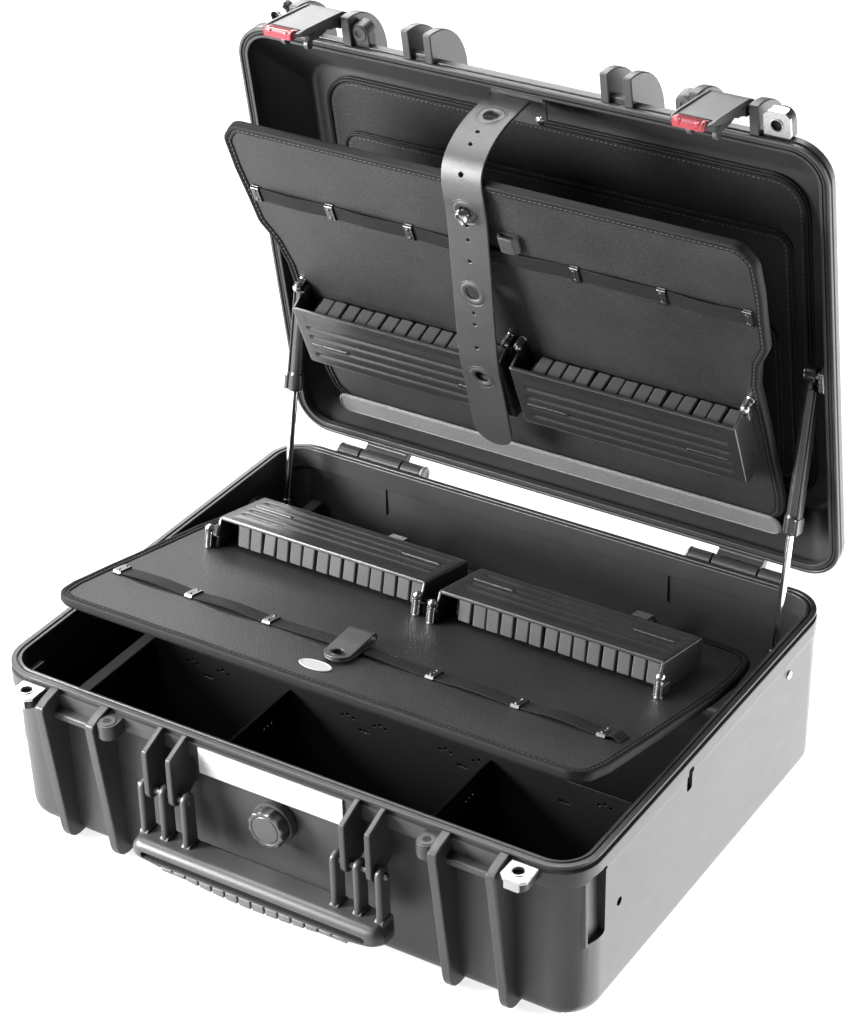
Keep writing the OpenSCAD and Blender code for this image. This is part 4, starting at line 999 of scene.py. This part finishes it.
# ------------------------------------------------------------ latches
def latch_geo():
    y, z = LY, LZ
    g = []
    # swept lever plate: profile in (y, z), a shallow outward curve with a rolled lower lip
    out = [(y - 5.0, z + 9.5), (y - 6.6, z + 6), (y - 7.0, z), (y - 7.1, z - 14), (y - 7.15, z - 34), (y - 7.2, z - 50), (y - 7.0, z - 57), (y - 6.4, z - 59.8)]
    inn = [(y - 4.4, z - 59.9), (y - 3.8, z - 56), (y - 3.7, z - 40), (y - 3.4, z - 20), (y - 3.0, z - 6), (y - 2.2, z + 6), (y - 3.2, z + 10)]
    lever = slab_x(-17.4, 34.8, ccw(out + inn), 0.7, 3)
    win = box((-13.3, y - 12, z - 70), (13.3, y + 2, z - 49), 0)
    c1 = moved(box((-4, -12, -4), (4, 12, 4), 0), TR(-17.6, y - 6, z - 61) @ Matrix.Rotation(pi / 4, 4, "Y"))
    c2 = moved(box((-4, -12, -4), (4, 12, 4), 0), TR(17.6, y - 6, z - 61) @ Matrix.Rotation(pi / 4, 4, "Y"))
    bore = moved(rod(2.56, 60, .0001, 28), TR(-30, y, z) @ AX)
    g.append(cut(lever, [win, c1, c2]))
    # raised rails along both long edges, as on a pressed lever
    for x in (-17.3, 14.9):
        g.append(slab_x(x, 2.4, ccw([(y - 6.2, z + 6), (y - 8.0, z + 2), (y - 8.4, z - 20), (y - 8.4, z - 46), (y - 7.6, z - 55), (y - 6.2, z - 57)]), 0.6, 3))
    # barrel round the pin, with a bore
    g.append(moved(rod(5.4, 34.8, .8, 40, 2.56), TR(-17.4, y, z) @ AX))
    g.append(slab_x(-15, 30, ccw([(y - 3.2, z + 8), (y - 4.2, z - 8), (y + 1, z - 4.8), (y - 1, z + 5.2)]), .4, 1))
    for x in (-17.4, 14.6):
        g.append(slab_x(x, 2.8, ccw([(y - 4.4, z + 3.5), (y + 2.2, z + 4.8), (y + 4.2, z - 1), (y + 3.2, z - 6), (y - 0.8, z - 22), (y - 3.2, z - 48), (y - 4.8, z - 50)]), 0.6, 2) if False else
                 cut(slab_x(x, 2.8, ccw([(y - 4.4, z + 3.5), (y + 2.2, z + 4.8), (y + 4.2, z - 1), (y + 3.2, z - 6), (y - 0.8, z - 22), (y - 3.2, z - 48), (y - 4.8, z - 50)]), 0.6, 2), [bore]))
    # hooks: tapering claws with a round back and a thin web between
    for x in (-12.6, 8.4):
        hk = [(y - 3.8, z - 8), (y + 1.5, z - 9), (y + 4.6, z - 14), (y + 6.2, z - 20), (y + 6.9, z - 27), (y + 6.8, z - 32.7), (y + 12.4, z - 32.7), *arc(y + 8.2, z - 35.6, 4.5, -2, -128, 8), (y + 2.2, z - 36), (y + 1.1, z - 30), (y - .4, z - 20), (y - 4.2, z - 15)]
        g.append(slab_x(x, 4.2, ccw(hk), 0.8, 3))
    g.append(slab_x(-9, 18, ccw([(y - 3.6, z - 12), (y - 1.8, z - 12), (y + 0.4, z - 22), (y + 1.6, z - 30), (y + .4, z - 30), (y - 1.2, z - 21)]), 0.4, 1))
    # linkage arm beside the right claw
    g.append(slab_x(13.0, 1.5, ccw([(y - 2, z - 14), (y + 3, z - 6), (y + 4.4, z - 9), (y + 1.2, z - 18), (y - 2.2, z - 30), (y - 3.4, z - 28)]), 0.3, 2))
    return merged(*g)


LG = latch_geo()


def button_geo():
    y, z = LY, LZ
    rg = []
    for x, k in ((-12.9, 1.0), (-12.5, .3), (-11.5, 0), (11.5, 0), (12.5, .3), (12.9, 1.0)):
        a = [(y - 9.1 + k, z - 58.5), (y - 8.8 + k, z - 56), (y - 8.1 + k, z - 54.4), (y - 2.2 - k, z - 54.2 - k * .3), (y - 1.7 - k, z - 58), (y - 2.2 - k, z - 62.4 + k), (y - 6.6, z - 62.9 + k), (y - 8.6 + k, z - 61)]
        rg.append([(x, p, q) for p, q in a])
    g = [loft(rg)]
    g.append(box((-12.8, y - 7.9, z - 54.6), (12.8, y - 4.1, z - 52.3), .4, 1))
    for x in (-9.5, 5.5):
        g.append(box((x, y - 8.6, z - 63), (x + 4, y - 4, z - 60), .9, 2))
    for i in range(5):
        g.append(box((-10, y - 9.35, z - 61.2 + i * 1.3), (10, y - 8.2, z - 60.7 + i * 1.3), .2, 1))
    return merged(*g)


BG = button_geo()
for s, n in ((-1, "left"), (1, "right")):
    make(f"latch_lever_{n}", LG, "latch", f"latch_{n}", [f"latch_{n}"], latch_m(s), sharp=40)
    make(f"latch_release_{n}", BG, "red", f"latch_button_{n}", [f"latch_button_{n}"], latch_m(s), sharp=45)


# ------------------------------------------------------------ gas struts
def tube_geo():
    g = [moved(rod(6.5, 8, .9, 40, 3.06), TR(-4, 0, 0) @ AX)]
    g.append(box((-2.4, -4.4, 5), (2.4, 4.4, 14), 1.0, 2))
    g.append(lathe([(3.0, 16), (3, 10.4), (4.6, 10), (5.5, 11.4), (5.5, 114), (6.2, 115.2), (6.7, 116.6), (6.7, 128.6), (6.3, 130), (5.2, 131), (3.05, 131), (3.05, 16)], 40))
    # flat guard blade along the tube, with a tab on the collar
    g.append(box((4.9, -4.2, 12), (6.6, 4.2, 118), .6, 2))
    g.append(box((4, -6.4, 116.5), (7.6, 6.4, 130), 1.1, 2))
    return merged(*g)


def rod_geo():
    e = STRUT_LEN
    g = [lathe([(0, 112), (2.9, 112.4), (2.9, e - 14.2), (4.0, e - 14), (4.2, e - 13.5), (4.2, e - 5.6), (3.8, e - 5.1), (0, e - 5)], 36)]
    g.append(moved(rod(5.4, 8, .9, 36), TR(-4, 0, e) @ AX))
    g.append(moved(lathe([(0, 0), (3, .1), (2.6, .9), (0, 1.3)], 28), TR(-3.9, 0, e) @ AX @ Matrix.Diagonal((1, 1, -1, 1))))
    return merged(*g)


TG, RG = tube_geo(), rod_geo()
for s, n in ((-1, "left"), (1, "right")):
    flip = MIRX if s < 0 else IDM
    make(f"gas_tube_{n}", moved(TG, flip), "tube", f"strut_tube_{n}", [f"strut_tube_{n}"], strut_m(s), sharp=40)
    make(f"gas_rod_{n}", moved(RG, flip), "rod", f"strut_rod_{n}", [f"strut_rod_{n}"], strut_m(s), sharp=40)

# ------------------------------------------------------------ tool boards
UP_PTS = [(200, 46), (213, 60), (216, 80), (216, 175), (215, 212), (220, 238), (230, 258), (232, 292), (234, 318), (234, 350), (222, 366)]
LO_PTS = [(196, 85), (222, 88), (234, 100), (241, 138), (243, 178), (242, 242), (241, 300), (240, 342), (236, 365), (223, 373)]


def full(pts):
    return list(pts) + [(-x, v) for x, v in reversed(pts)]


UO, LO = fillet(full(UP_PTS), 14, 7), fillet(full(LO_PTS), 14, 7)


def dense(loop, step=9.0):
    out = []
    for i in range(len(loop)):
        p, q = Vector(loop[i]), Vector(loop[(i + 1) % len(loop)])
        k = max(1, int((q - p).length / step))
        out += [tuple(p + (q - p) * j / k) for j in range(k)]
    return out


def tool_board(side, loop, m, body):
    L = dense(loop)
    core = plate2d(offset_loop(L, 3.25), [], 5.9, 0.3, -5.95, 1)
    make(f"{side}_board_core", core, "board", body, [f"{side}_board"], m)
    prof = [(7.1, 0.04), (7.2, 0.4), (6.9, 0.8), (6.2, 1.0), (5.6, 0.75), (5.15, 0.4), (4.7, 0.35), (4.3, 0.6), (3.7, 1.15), (2.7, 1.5), (1.6, 1.35), (0.8, 0.85), (0.2, 0.0),
            (0.0, -1.4), (0.0, -4.2), (0.2, -5.6), (0.8, -6.6), (1.8, -7.0), (3.6, -7.0), (6.4, -6.95), (7.0, -6.7), (7.1, -6.1), (3.35, -6.02), (3.35, 0.02)]
    rings = []
    N = len(L)
    for d, n in prof:
        lp = offset_loop(L, d)
        # sewn edges are never dead straight
        rings.append([(x, y, n + (0.12 * sin(i * 0.9) + 0.1 * sin(i * 0.31)) * (1 if n > 0.3 else 0)) for i, (x, y) in enumerate(lp)])
    make(f"{side}_edge_binding", loft(rings, closed=True), "binding", body, [f"{side}_binding"], m, sharp=60)
    make(f"{side}_binding_stitches", stitches(offset_loop(L, 4.9), 0.45, 4.4, 2.9, 0.8, 0.4), "thread", body, (), m, wn=False)


tool_board("upper", UO, UFACE, "upper_board")
tool_board("lower", LO, LFACE, "lower_board")


def band(hx, v, xs, seed):
    """Woven elastic with its loops bowed up between the clips."""
    rnd = random.Random(seed)
    stops = [-hx, *[x for x in xs if abs(x) < hx - 1], hx]
    if stops[1] - stops[0] < 12:
        stops.pop(1)
    if stops[-1] - stops[-2] < 12:
        stops.pop(-2)
    P = []
    for a, b in zip(stops, stops[1:]):
        bow, lean = rnd.uniform(1.3, 2.6), rnd.uniform(-0.8, 1.4)
        k = max(10, int((b - a) / 3.5))
        P += [(a + (b - a) * i / k, bow * sin(pi * i / k) ** 1.6, lean * sin(pi * i / k) ** 2) for i in range(k)]
    P.append((hx, 0, 0))
    rings = []
    for x, h, l in P:
        rings.append([(x, v + l + y, 0.12 + h * 0.96 + z) for y, z in ((-7, 0.35), (-6.6, 0.0), (-3, 0.08), (0, 0.1), (3, 0.08), (6.6, 0.0), (7, 0.35), (7, 0.9), (6.6, 1.22), (3, 1.3), (0, 1.32), (-3, 1.3), (-6.6, 1.22), (-7, 0.9))])
    return loft(rings)


def clip_set(v, xs):
    g, rv_ = [], []
    for x in xs:
        path = [(-9, .55), (-8.1, .55), (-7.75, 1.3), (-7.6, 2.2), (-7.1, 2.7), (-5, 2.82), (5, 2.82), (7.1, 2.7), (7.6, 2.2), (7.75, 1.3), (8.1, .55), (9, .55)]
        up = [(a, b + .38) if abs(a) < 8 else (a, b + .4) for a, b in path]
        dn = [(a * .985, b - .38) for a, b in path]
        g.append(slab_x(x - 3.6, 7.2, [(v + a, b) for a, b in up] + [(v + a, b) for a, b in reversed(dn)], 0.16, 2))
        for d in (-4.6, 4.6):
            rv_.append(moved(lathe([(0, 0), (1.7, .02), (1.6, .45), (1.1, .8), (0, .95)], 20), TR(x, v + d, 3.15)))
        rv_.append(moved(lathe([(0, 0), (1.3, .02), (1.3, .3), (.7, .35), (.6, .1), (0, .1)], 18), TR(x, v, 3.17)))
    return merged(*g, *rv_)


CU, CL = [-219, -148, -74, 74, 148, 219], [-226, -156, -82, 66, 140, 212]
make("upper_band", band(222, 291.7, CU, 3), "elastic", "upper_board", ["upper_elastic"], UFACE, sharp=60)
make("lower_band", band(228, 298, CL, 5), "elastic", "lower_board", ["lower_elastic"], LFACE, sharp=60)
make("upper_band_clips", clip_set(291.7, CU), "steel_dark", "upper_board", ["upper_clips"], UFACE)
make("lower_band_clips", clip_set(298, CL), "steel_dark", "lower_board", ["lower_clips"], LFACE)


# ------------------------------------------------------------ tool holders
def holder_geo(x0, v0, mirror=False):
    def env(x):
        a = max(0.0, min(1.0, (x - 8) / 5.0)) * max(0.0, min(1.0, (191 - x) / 5.0))
        return a * a * (3 - 2 * a)
    rings = []
    xs_ = [0.2, 0.5, 1.2, 2.4, 5] + [8 + i for i in range(6)] + [20 + 7.9 * i for i in range(21)] + [186 + i for i in range(6)] + [194, 196.6, 197.8, 198.5, 198.8]
    vt = [5 + 60.2 * i / 72 for i in range(73)]
    for x in xs_:
        e = env(x)
        rr_ = {0.2: 1.2, 0.5: .55, 1.2: .15, 198.8: 1.2, 198.5: .55, 197.8: .15}.get(x, 0)
        pr = [(0.1 + rr_, .15), (0 + rr_, 19.5), (.3 + rr_, 22), (1.4 + rr_, 24.3 - rr_), (3.3, 25.6 - rr_)]
        for v in vt:
            g = sum(math.exp(-((v - c) / 1.9) ** 2) for c in (14, 25, 36, 47)) * 1.25 * e + 0.35 * math.exp(-((v - 58) / 5.0) ** 2) * e
            pr.append((v, 25.9 - g - rr_))
        pr += [(66.1, 25.8 - rr_), (66.55, 25.2 - rr_ * .6), (66.6, 23.4), (66.1, 22.8), (64.0, 22.6), (63.4, 23.0), (7, 23.0), (4.8, 22.0), (3.1, 19.6), (3.0, .15)]
        rings.append([(x, a, b) for a, b in pr])
    g = [loft(rings)]
    wall = fillet([(0.3, .12), (70.8, .12), (70.8, 7.5), (66.6, 25.2), (4, 25.2), (0.3, 20.4)], [0, 1.0, 2.0, 2.0, 5, 4], 4)
    g += [slab_x(0.15, 2.6, wall, 0.7, 3), slab_x(196.25, 2.6, wall, 0.7, 3)]
    for a in (-3.9, 194.9):
        g.append(box((a, 60, .12), (a + 8, 71, 9.9), 1.4, 3))
        g.append(moved(lathe([(0, 0), (2.6, 0), (2.4, .5), (1.5, .9), (0, 1)], 24), TR(a + 4, 65.5, 9.8)))
    # two bare raised bars on the top
    for a in (8, 151):
        g.append(plate2d(rrect(a, 24.2, a + 37, 27.8, 1.7, 4), [], 1.5, .5, 25.1, 2))
    hz_ = merged(*g)
    return moved(hz_, TR(x0, v0, 0)) if not mirror else moved(hz_, TR(-x0 - 199, v0, 0))


def comb_geo(x0, v0, seed, mirror=False):
    rnd = random.Random(seed)
    g = []
    p = 192.4 / 15
    base = x0 + 3.3 if not mirror else -x0 - 199 + 3.3
    for i in range(15):
        a, b = base + i * p + .55, base + (i + 1) * p - .55
        d = rnd.uniform(-.5, .5)
        if i == 0:
            # the last fin by the wall sits deeper and leaves a dark gap
            a, d = a + 5.6, -9
        q = fillet([(a, v0 + 38 + d), (b, v0 + 38 + d), (b, v0 + 62.4 + d), (a, v0 + 62.4 + d)], 1.6, 3)
        f = prism(q, 19.2, .8, 2)
        c = Vector(((a + b) / 2, v0 + 45, 13))
        R_ = TR(*c) @ Matrix.Rotation(radians(rnd.uniform(-2.2, 2.2)), 4, "X") @ Matrix.Rotation(radians(rnd.uniform(-1.8, 1.8)), 4, "Z") @ Matrix.Rotation(radians(rnd.uniform(-1.0, 1.0)), 4, "Y") @ TR(*-c)
        g.append(moved(f, R_ @ TR(0, 0, 3.4)))
    g.append(box((base + .3, v0 + 36.2, 3.3), (base + 192.1, v0 + 41, 22.6), .5, 1))
    return merged(*g)


make("upper_tool_holders", merged(holder_geo(4.2, 120.5), holder_geo(4.2, 120.5, True)), "holder", "upper_board", ["upper_holders"], UFACE, sharp=36)
make("upper_fins", merged(comb_geo(4.2, 120.5, 11), comb_geo(4.2, 120.5, 12, True)), "comb", "upper_board", ["upper_combs"], UFACE, sharp=36)
make("lower_tool_holders", merged(moved(holder_geo(5.9, 132.5), TR(4, 6, 0)), holder_geo(5.9, 132.5, True)), "holder", "lower_board", ["lower_holders"], LFACE, sharp=36)
make("lower_fins", merged(moved(comb_geo(5.9, 132.5, 21), TR(4, 6, 0)), comb_geo(5.9, 132.5, 22, True)), "comb", "lower_board", ["lower_combs"], LFACE, sharp=36)


def post_geo(v, h, xs_):
    g = []
    for x in xs_:
        g.append(moved(lathe([(0, .1), (3.6, .1), (3.6, .8), (3.2, 1.3), (3.0, 1.4), (3.0, h - 6.4), (2.2, h - 6), (2.2, h - 5.4), (3.5, h - 5.2), (3.8, h - 4.2), (3.8, h - 3.0), (3.5, h - 1.6), (2.7, h - .7), (1.4, h - .15), (0, h)], 32), TR(x, v, 0)))
        for s in (-1, 1):
            g.append(moved(rod(.75, h - 7.6, .3, 12), TR(x + s * 2.95, v + .9, 1.2)))
    return merged(*g)


make("upper_posts", post_geo(195, 13, [-205, -5.7, 5.7, 205]), "steel", "upper_board", ["upper_screws"], UFACE)
make("lower_posts", merged(post_geo(213, 20, [9.7, 210.4]), post_geo(207, 20, [-7.7, -208.4])), "steel", "lower_board", ["lower_screws"], LFACE)


# ------------------------------------------------------------ flat strips bent along a path
class Path:
    """Smooth path through points, with a side vector at each, measured along its length."""

    def __init__(self, pts, sides, zero=0, n=14):
        P = [Vector(p) for p in pts]
        S = [Vector(s) for s in sides]
        self.p, self.s = [], []
        knots = []
        for i in range(len(P) - 1):
            p0 = P[i - 1] if i else P[0] * 2 - P[1]
            p3 = P[i + 2] if i + 2 < len(P) else P[-1] * 2 - P[-2]
            knots.append(len(self.p))
            for j in range(n):
                t = j / n
                d01, d12, d23 = [max((b - a).length, 1e-6) ** 0.5 for a, b in ((p0, P[i]), (P[i], P[i + 1]), (P[i + 1], p3))]
                m1 = (P[i + 1] - P[i]) + ((P[i] - p0) / d01 - (P[i + 1] - p0) / (d01 + d12)) * d12
                m2 = (P[i + 1] - P[i]) + ((p3 - P[i + 1]) / d23 - (p3 - P[i]) / (d12 + d23)) * d12
                h00, h10, h01, h11 = 2 * t ** 3 - 3 * t ** 2 + 1, t ** 3 - 2 * t ** 2 + t, -2 * t ** 3 + 3 * t ** 2, t ** 3 - t ** 2
                self.p.append(P[i] * h00 + m1 * h10 + P[i + 1] * h01 + m2 * h11)
                self.s.append(S[i].lerp(S[i + 1], t))
        knots.append(len(self.p))
        self.p.append(P[-1])
        self.s.append(S[-1])
        L = [0.0]
        for a, b in zip(self.p, self.p[1:]):
            L.append(L[-1] + (b - a).length)
        z = L[knots[zero]]
        self.l = [x - z for x in L]
        self.knot = [self.l[k] for k in knots]
        self.t = [(self.p[min(i + 1, len(self.p) - 1)] - self.p[max(i - 1, 0)]).normalized() for i in range(len(self.p))]

    def at(self, s, x, h):
        l = self.l
        i = 0 if s <= l[0] else len(l) - 2 if s >= l[-1] else int(np.searchsorted(l, s, side="right")) - 1
        f = (s - l[i]) / max(l[i + 1] - l[i], 1e-9)
        p = self.p[i] + (self.p[i + 1] - self.p[i]) * f
        t = self.t[i].lerp(self.t[i + 1], min(max(f, 0), 1)).normalized()
        sd = self.s[i].lerp(self.s[i + 1], min(max(f, 0), 1))
        sd = (sd - t * sd.dot(t)).normalized()
        return p + sd * x + sd.cross(t) * h


def sliced(geo, lo, hi, step, axis=1):
    bm = bmesh.new()
    vs = [bm.verts.new(p) for p in geo[0]]
    for f in geo[1]:
        try:
            bm.faces.new([vs[i] for i in f])
        except ValueError:
            pass
    no = (0, 1, 0) if axis == 1 else (1, 0, 0)
    s = lo + step
    while s < hi:
        co = (0, s, 0) if axis == 1 else (s, 0, 0)
        bmesh.ops.bisect_plane(bm, geom=[*bm.verts, *bm.edges, *bm.faces], plane_co=co, plane_no=no)
        s += step
    return from_bm(bm)


def along(geo, path):
    return ([tuple(path.at(y, x, z)) for x, y, z in geo[0]], geo[1])


def circ(x, y, r, n=28):
    return [(x + r * cos(2 * pi * i / n), y + r * sin(2 * pi * i / n)) for i in range(n)]


def emboss(y, r, w_=1.0, h=0.5, z=1.1, n=56):
    """Pressed ring on a strap's face."""
    rows = [[((r + a) * cos(2 * pi * i / n), y + (r + a) * sin(2 * pi * i / n), z + b) for i in range(n)] for a, b in ((-w_ / 2 - .3, -.25), (-w_ / 2, .1), (-w_ / 4, h * .85), (0, h), (w_ / 4, h * .85), (w_ / 2, .1), (w_ / 2 + .3, -.25))]
    return loft(rows, closed=True)


SW = UFACE @ TR(-8, 340, 0) @ Matrix.Rotation(radians(-5), 4, "Z")
sx_b = (SW.to_3x3() @ Vector((1, 0, 0)))
bpts = [SW @ Vector((0, v, n)) for v, n in ((-256, 27.85), (-238, 27.85), (-190, 27.85), (-152, 27.6), (-120, 23.7), (-80, 17.8), (-40, 11.9), (-14, 8.1), (0, 6.6), (12, 6.3))]
lpts = [LIDM @ Vector((-8, -D2 + y, H + z)) for y, z in ((43, -71.5), (31.7, -65), (22.3, -49), (17.8, -30), (17.2, -12), (17.2, 5.6))]
strap_path = Path(bpts + lpts, [sx_b] * 9 + [sx_b.lerp(Vector((1, 0, 0)), .3)] + [Vector((1, 0, 0))] * 6, zero=8)
s_end, s_top = strap_path.l[0], strap_path.l[-1]
hw = 17.75
outline_s = ccw([(hw, s_top - .3), (-hw, s_top - .3), *[(hw * cos(radians(a)), s_end + hw + hw * sin(radians(a))) for a in range(180, 361, 6)]])
big = [(0, 5.4), (-82, 5.9), (-172.3, 5.9), (s_top - 29, 5.9)]
tiny = [(-14.2, 1.5), (-28.4, 1.5), (-49.5, 1.6), (-102, 1.5), (-114, 1.5), (-138.5, 1.6), (s_top - 49, 1.5), (s_top - 61, 1.5), (s_top - 85, 1.9)]
flat_s = plate2d(outline_s, [circ(0, y, r, 32 if r > 3 else 18) for y, r in big + tiny], 2.4, 0.7, -1.2, 3)
rings_s = [emboss(y, 8.7, 4.4, .6) for y, r in big] + [emboss(y, 12.1, 0.9, .3) for y, r in big]
strap_geo = merged(along(sliced(flat_s, s_end, s_top, 3.0), strap_path), *[along(g, strap_path) for g in rings_s])
make("strap_ribbon", strap_geo, "strap", None, ["strap_front", "strap_arc", "strap_eyelets"], sharp=50)


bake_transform(MADE["strap_ribbon"])

# turn lock: round foot, and an oval key with a hollowed face
foot = lathe([(0, 0), (8, .1), (8, 3.4), (7.4, 4.2), (6.4, 4.5), (3.1, 4.5), (2.9, 9.1), (0, 9.1)], 48)
make("turn_lock_foot", moved(foot, TR(-8, 340, .1)), "steel", "upper_board", ["turn_lock_base"], UFACE)
key = []
for a, b, z in ((4.4, 4.4, 0), (4.6, 4.6, .3), (4.6, 4.6, 1.6), (4.3, 4.4, 2.2), (4.8, 6.6, 2.8), (5.0, 7.4, 3.6), (4.7, 7.3, 5.0), (3.9, 6.8, 6.6), (3.0, 6.2, 7.5), (2.3, 5.6, 7.7), (1.6, 4.8, 7.3), (1.0, 3.6, 6.7), (.3, 1.2, 6.5)):
    key.append([(a * cos(2 * pi * i / 44), b * sin(2 * pi * i / 44), z) for i in range(44)])
make("turn_lock_key", moved(loft(key), TR(-8, 340, 9.2) @ Matrix.Rotation(radians(14), 4, "Z")), "steel", "turn_lock", ["turn_lock_knob"], UFACE, sharp=60)

# small loop on the upper board
lo_out = fillet([(12.2, .15), (29.8, .15), (29.8, 3.0), (27.6, 7.6), (14.4, 7.6), (12.2, 3.0)], [1.0, 1.0, 2.4, 3.2, 3.2, 2.4], 5)
loop_g = sliced(plate2d(lo_out, [list(reversed(offset_loop(lo_out, 1.75)))], 16, .5, 303, 2), 0, 1, 5)
make("upper_tool_loop", merged(moved(loop_g, SWP), moved(stitches(offset_loop(rrect(13.4, 304.6, 28.6, 317.4, .5, 2), .3), 1.95, 3.4, 2.2, .6, .3), IDM)), "strap", "upper_board", ["upper_loop"], UFACE, sharp=50)

# folded tab with its eyelet on the lower board
TB = TR(-6, 302, 0) @ Matrix.Rotation(radians(-4), 4, "Z")
tp = [(30.5, 2.9), (20, 2.7), (8, 2.85), (-8, 2.95), (-16, 3.1), (-19.6, 5.2), (-19.8, 8.6), (-17, 11), (-8, 9.9), (4, 8.1), (14, 6.2), (22, 5.2), (31, 5.0)]
tab_path = Path([(0, v, n) for v, n in tp], [(-1, 0, 0)] * len(tp), zero=0)
tl = tab_path.l[-1]
r_ = 11
oo = ccw([*[(r_ * cos(radians(a)), r_ + r_ * sin(radians(a))) for a in range(180, 361, 9)], *[(r_ * cos(radians(a)), tl - r_ + r_ * sin(radians(a))) for a in range(0, 181, 9)]])
tabf = plate2d(oo, [circ(0, r_ - .4, 5, 28), circ(0, tl - r_ + .4, 5, 28)], 1.8, .5, -.9, 2)
tab_e = [along(emboss(y, 8.6, .8, .35, .8), tab_path) for y in (tl - r_ + .4,)]
make("lower_folded_tab", moved(merged(along(sliced(tabf, 0, tl, 1.6), tab_path), *tab_e), TB), "strap", "lower_board", ["lower_tab"], LFACE, sharp=50)
eye = lathe([(4.6, 0), (4.6, 4.6), (4.9, 5.2), (5.6, 5.5), (6.6, 5.4), (7.2, 4.9), (7.3, 4.6), (5.0, 4.6), (5.0, 0)], 40)
make("tab_eyelet", moved(eye, TB @ TR(0, 20.2, .9)), "tube", "lower_board", (), LFACE)
bd = []
for a, b, z in ((13.8, 8.0, .1), (14, 8.2, .35), (13.9, 8.1, .85), (13.5, 7.7, 1.05), (13.0, 7.2, 1.05), (12.6, 6.8, .8), (12.2, 6.4, .75), (6, 3.1, .78), (.4, .2, .8)):
    bd.append([(a * cos(2 * pi * i / 56), b * sin(2 * pi * i / 56), z) for i in range(56)])
make("lower_oval_badge", moved(loft(bd), TR(-10, 344, .1)), "label", "lower_board", ["lower_badge"], LFACE)

# hinge arms under the lower board
ha = []
for s in (-1, 1):
    mm = IDM if s > 0 else MIRX
    arm = slab_x(110.4, 15.2, ccw([(D2 - 129, H - 42.7), (D2 - 129, H - 44.9), (D2 - 56, H - 44.9), (D2 - 19, LAZ - 2), (D2 - 15, LAZ - 3.5), (D2 - 13.4, LAZ + .8), (D2 - 17, LAZ + 3), (D2 - 54, H - 42.6)]), .5, 2)
    brl = moved(rod(5.2, 16.8, .7, 36, 2.56), TR(109.6, LAY, LAZ) @ AX)
    arm = cut(arm, [moved(rod(4.6, 30, .0001, 36), TR(105, LAY, LAZ) @ AX)])
    pl_ = box((110.2, D2 - 128.8, H - 42.6), (125.8, D2 - 93.2, H - 41.4), .35, 2)
    ha.append(moved(merged(arm, brl, pl_), mm))
make("lower_arms", merged(*ha), "steel", "lower_board", ["lower_hinge_arms"], LOWM)

# light strip over the upper board's foot, and the soft gusset behind it
fl = plate2d(ccw(rrect(-210, 34, 210, 56, 9, 6)), [], 2.2, .9, 1.35, 3)
flb = sweep([(x, y, 3.3) for x, y in offset_loop(ccw(rrect(-210, 34, 210, 56, 9, 6)), 1.7)], circle_prof(.9, 10, .7), (0, 0, 1), True)
make("upper_foot_flap", merged(fl, flb), "flap", "upper_board", ["upper_flap"], UFACE, sharp=60)
g0, g1 = LIDM @ Vector((0, D2 - 32.4, H + 49.6)), UFACE @ Vector((0, 36.5, 0.75))
out_ = LIDM.to_3x3() @ Vector((0, 1, 0))
rows, nr, nc = [], 10, 60
gl, prev = 0.0, None
for j in range(nr + 1):
    t = j / nr
    c = g0.lerp(g1, t) + out_ * (3.4 * sin(pi * t))
    if prev is not None:
        gl += (c - prev).length
    prev = c
    rows.append(c)
gv, gf = [], []
for j, c in enumerate(rows):
    for i in range(nc + 1):
        x = -204 + 408 * i / nc
        wv = out_ * (0.9 * sin(i * .8) * sin(pi * j / nr))
        gv.append(tuple(Vector((x, c.y, c.z)) + wv))
gf = [(j * (nc + 1) + i, j * (nc + 1) + i + 1, (j + 1) * (nc + 1) + i + 1, (j + 1) * (nc + 1) + i) for j in range(nr) for i in range(nc)]
go = make("foot_gusset", (gv, gf), "panel", None, ["flap_gusset"], soft=True)
sm = go.modifiers.new("thick", "SOLIDIFY")
sm.thickness = 0.0011
sm.offset = 0
bpy.context.view_layer.update()
me_ = bpy.data.meshes.new_from_object(go.evaluated_get(bpy.context.evaluated_depsgraph_get()))
go.modifiers.clear()
go.data = me_
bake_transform(go)
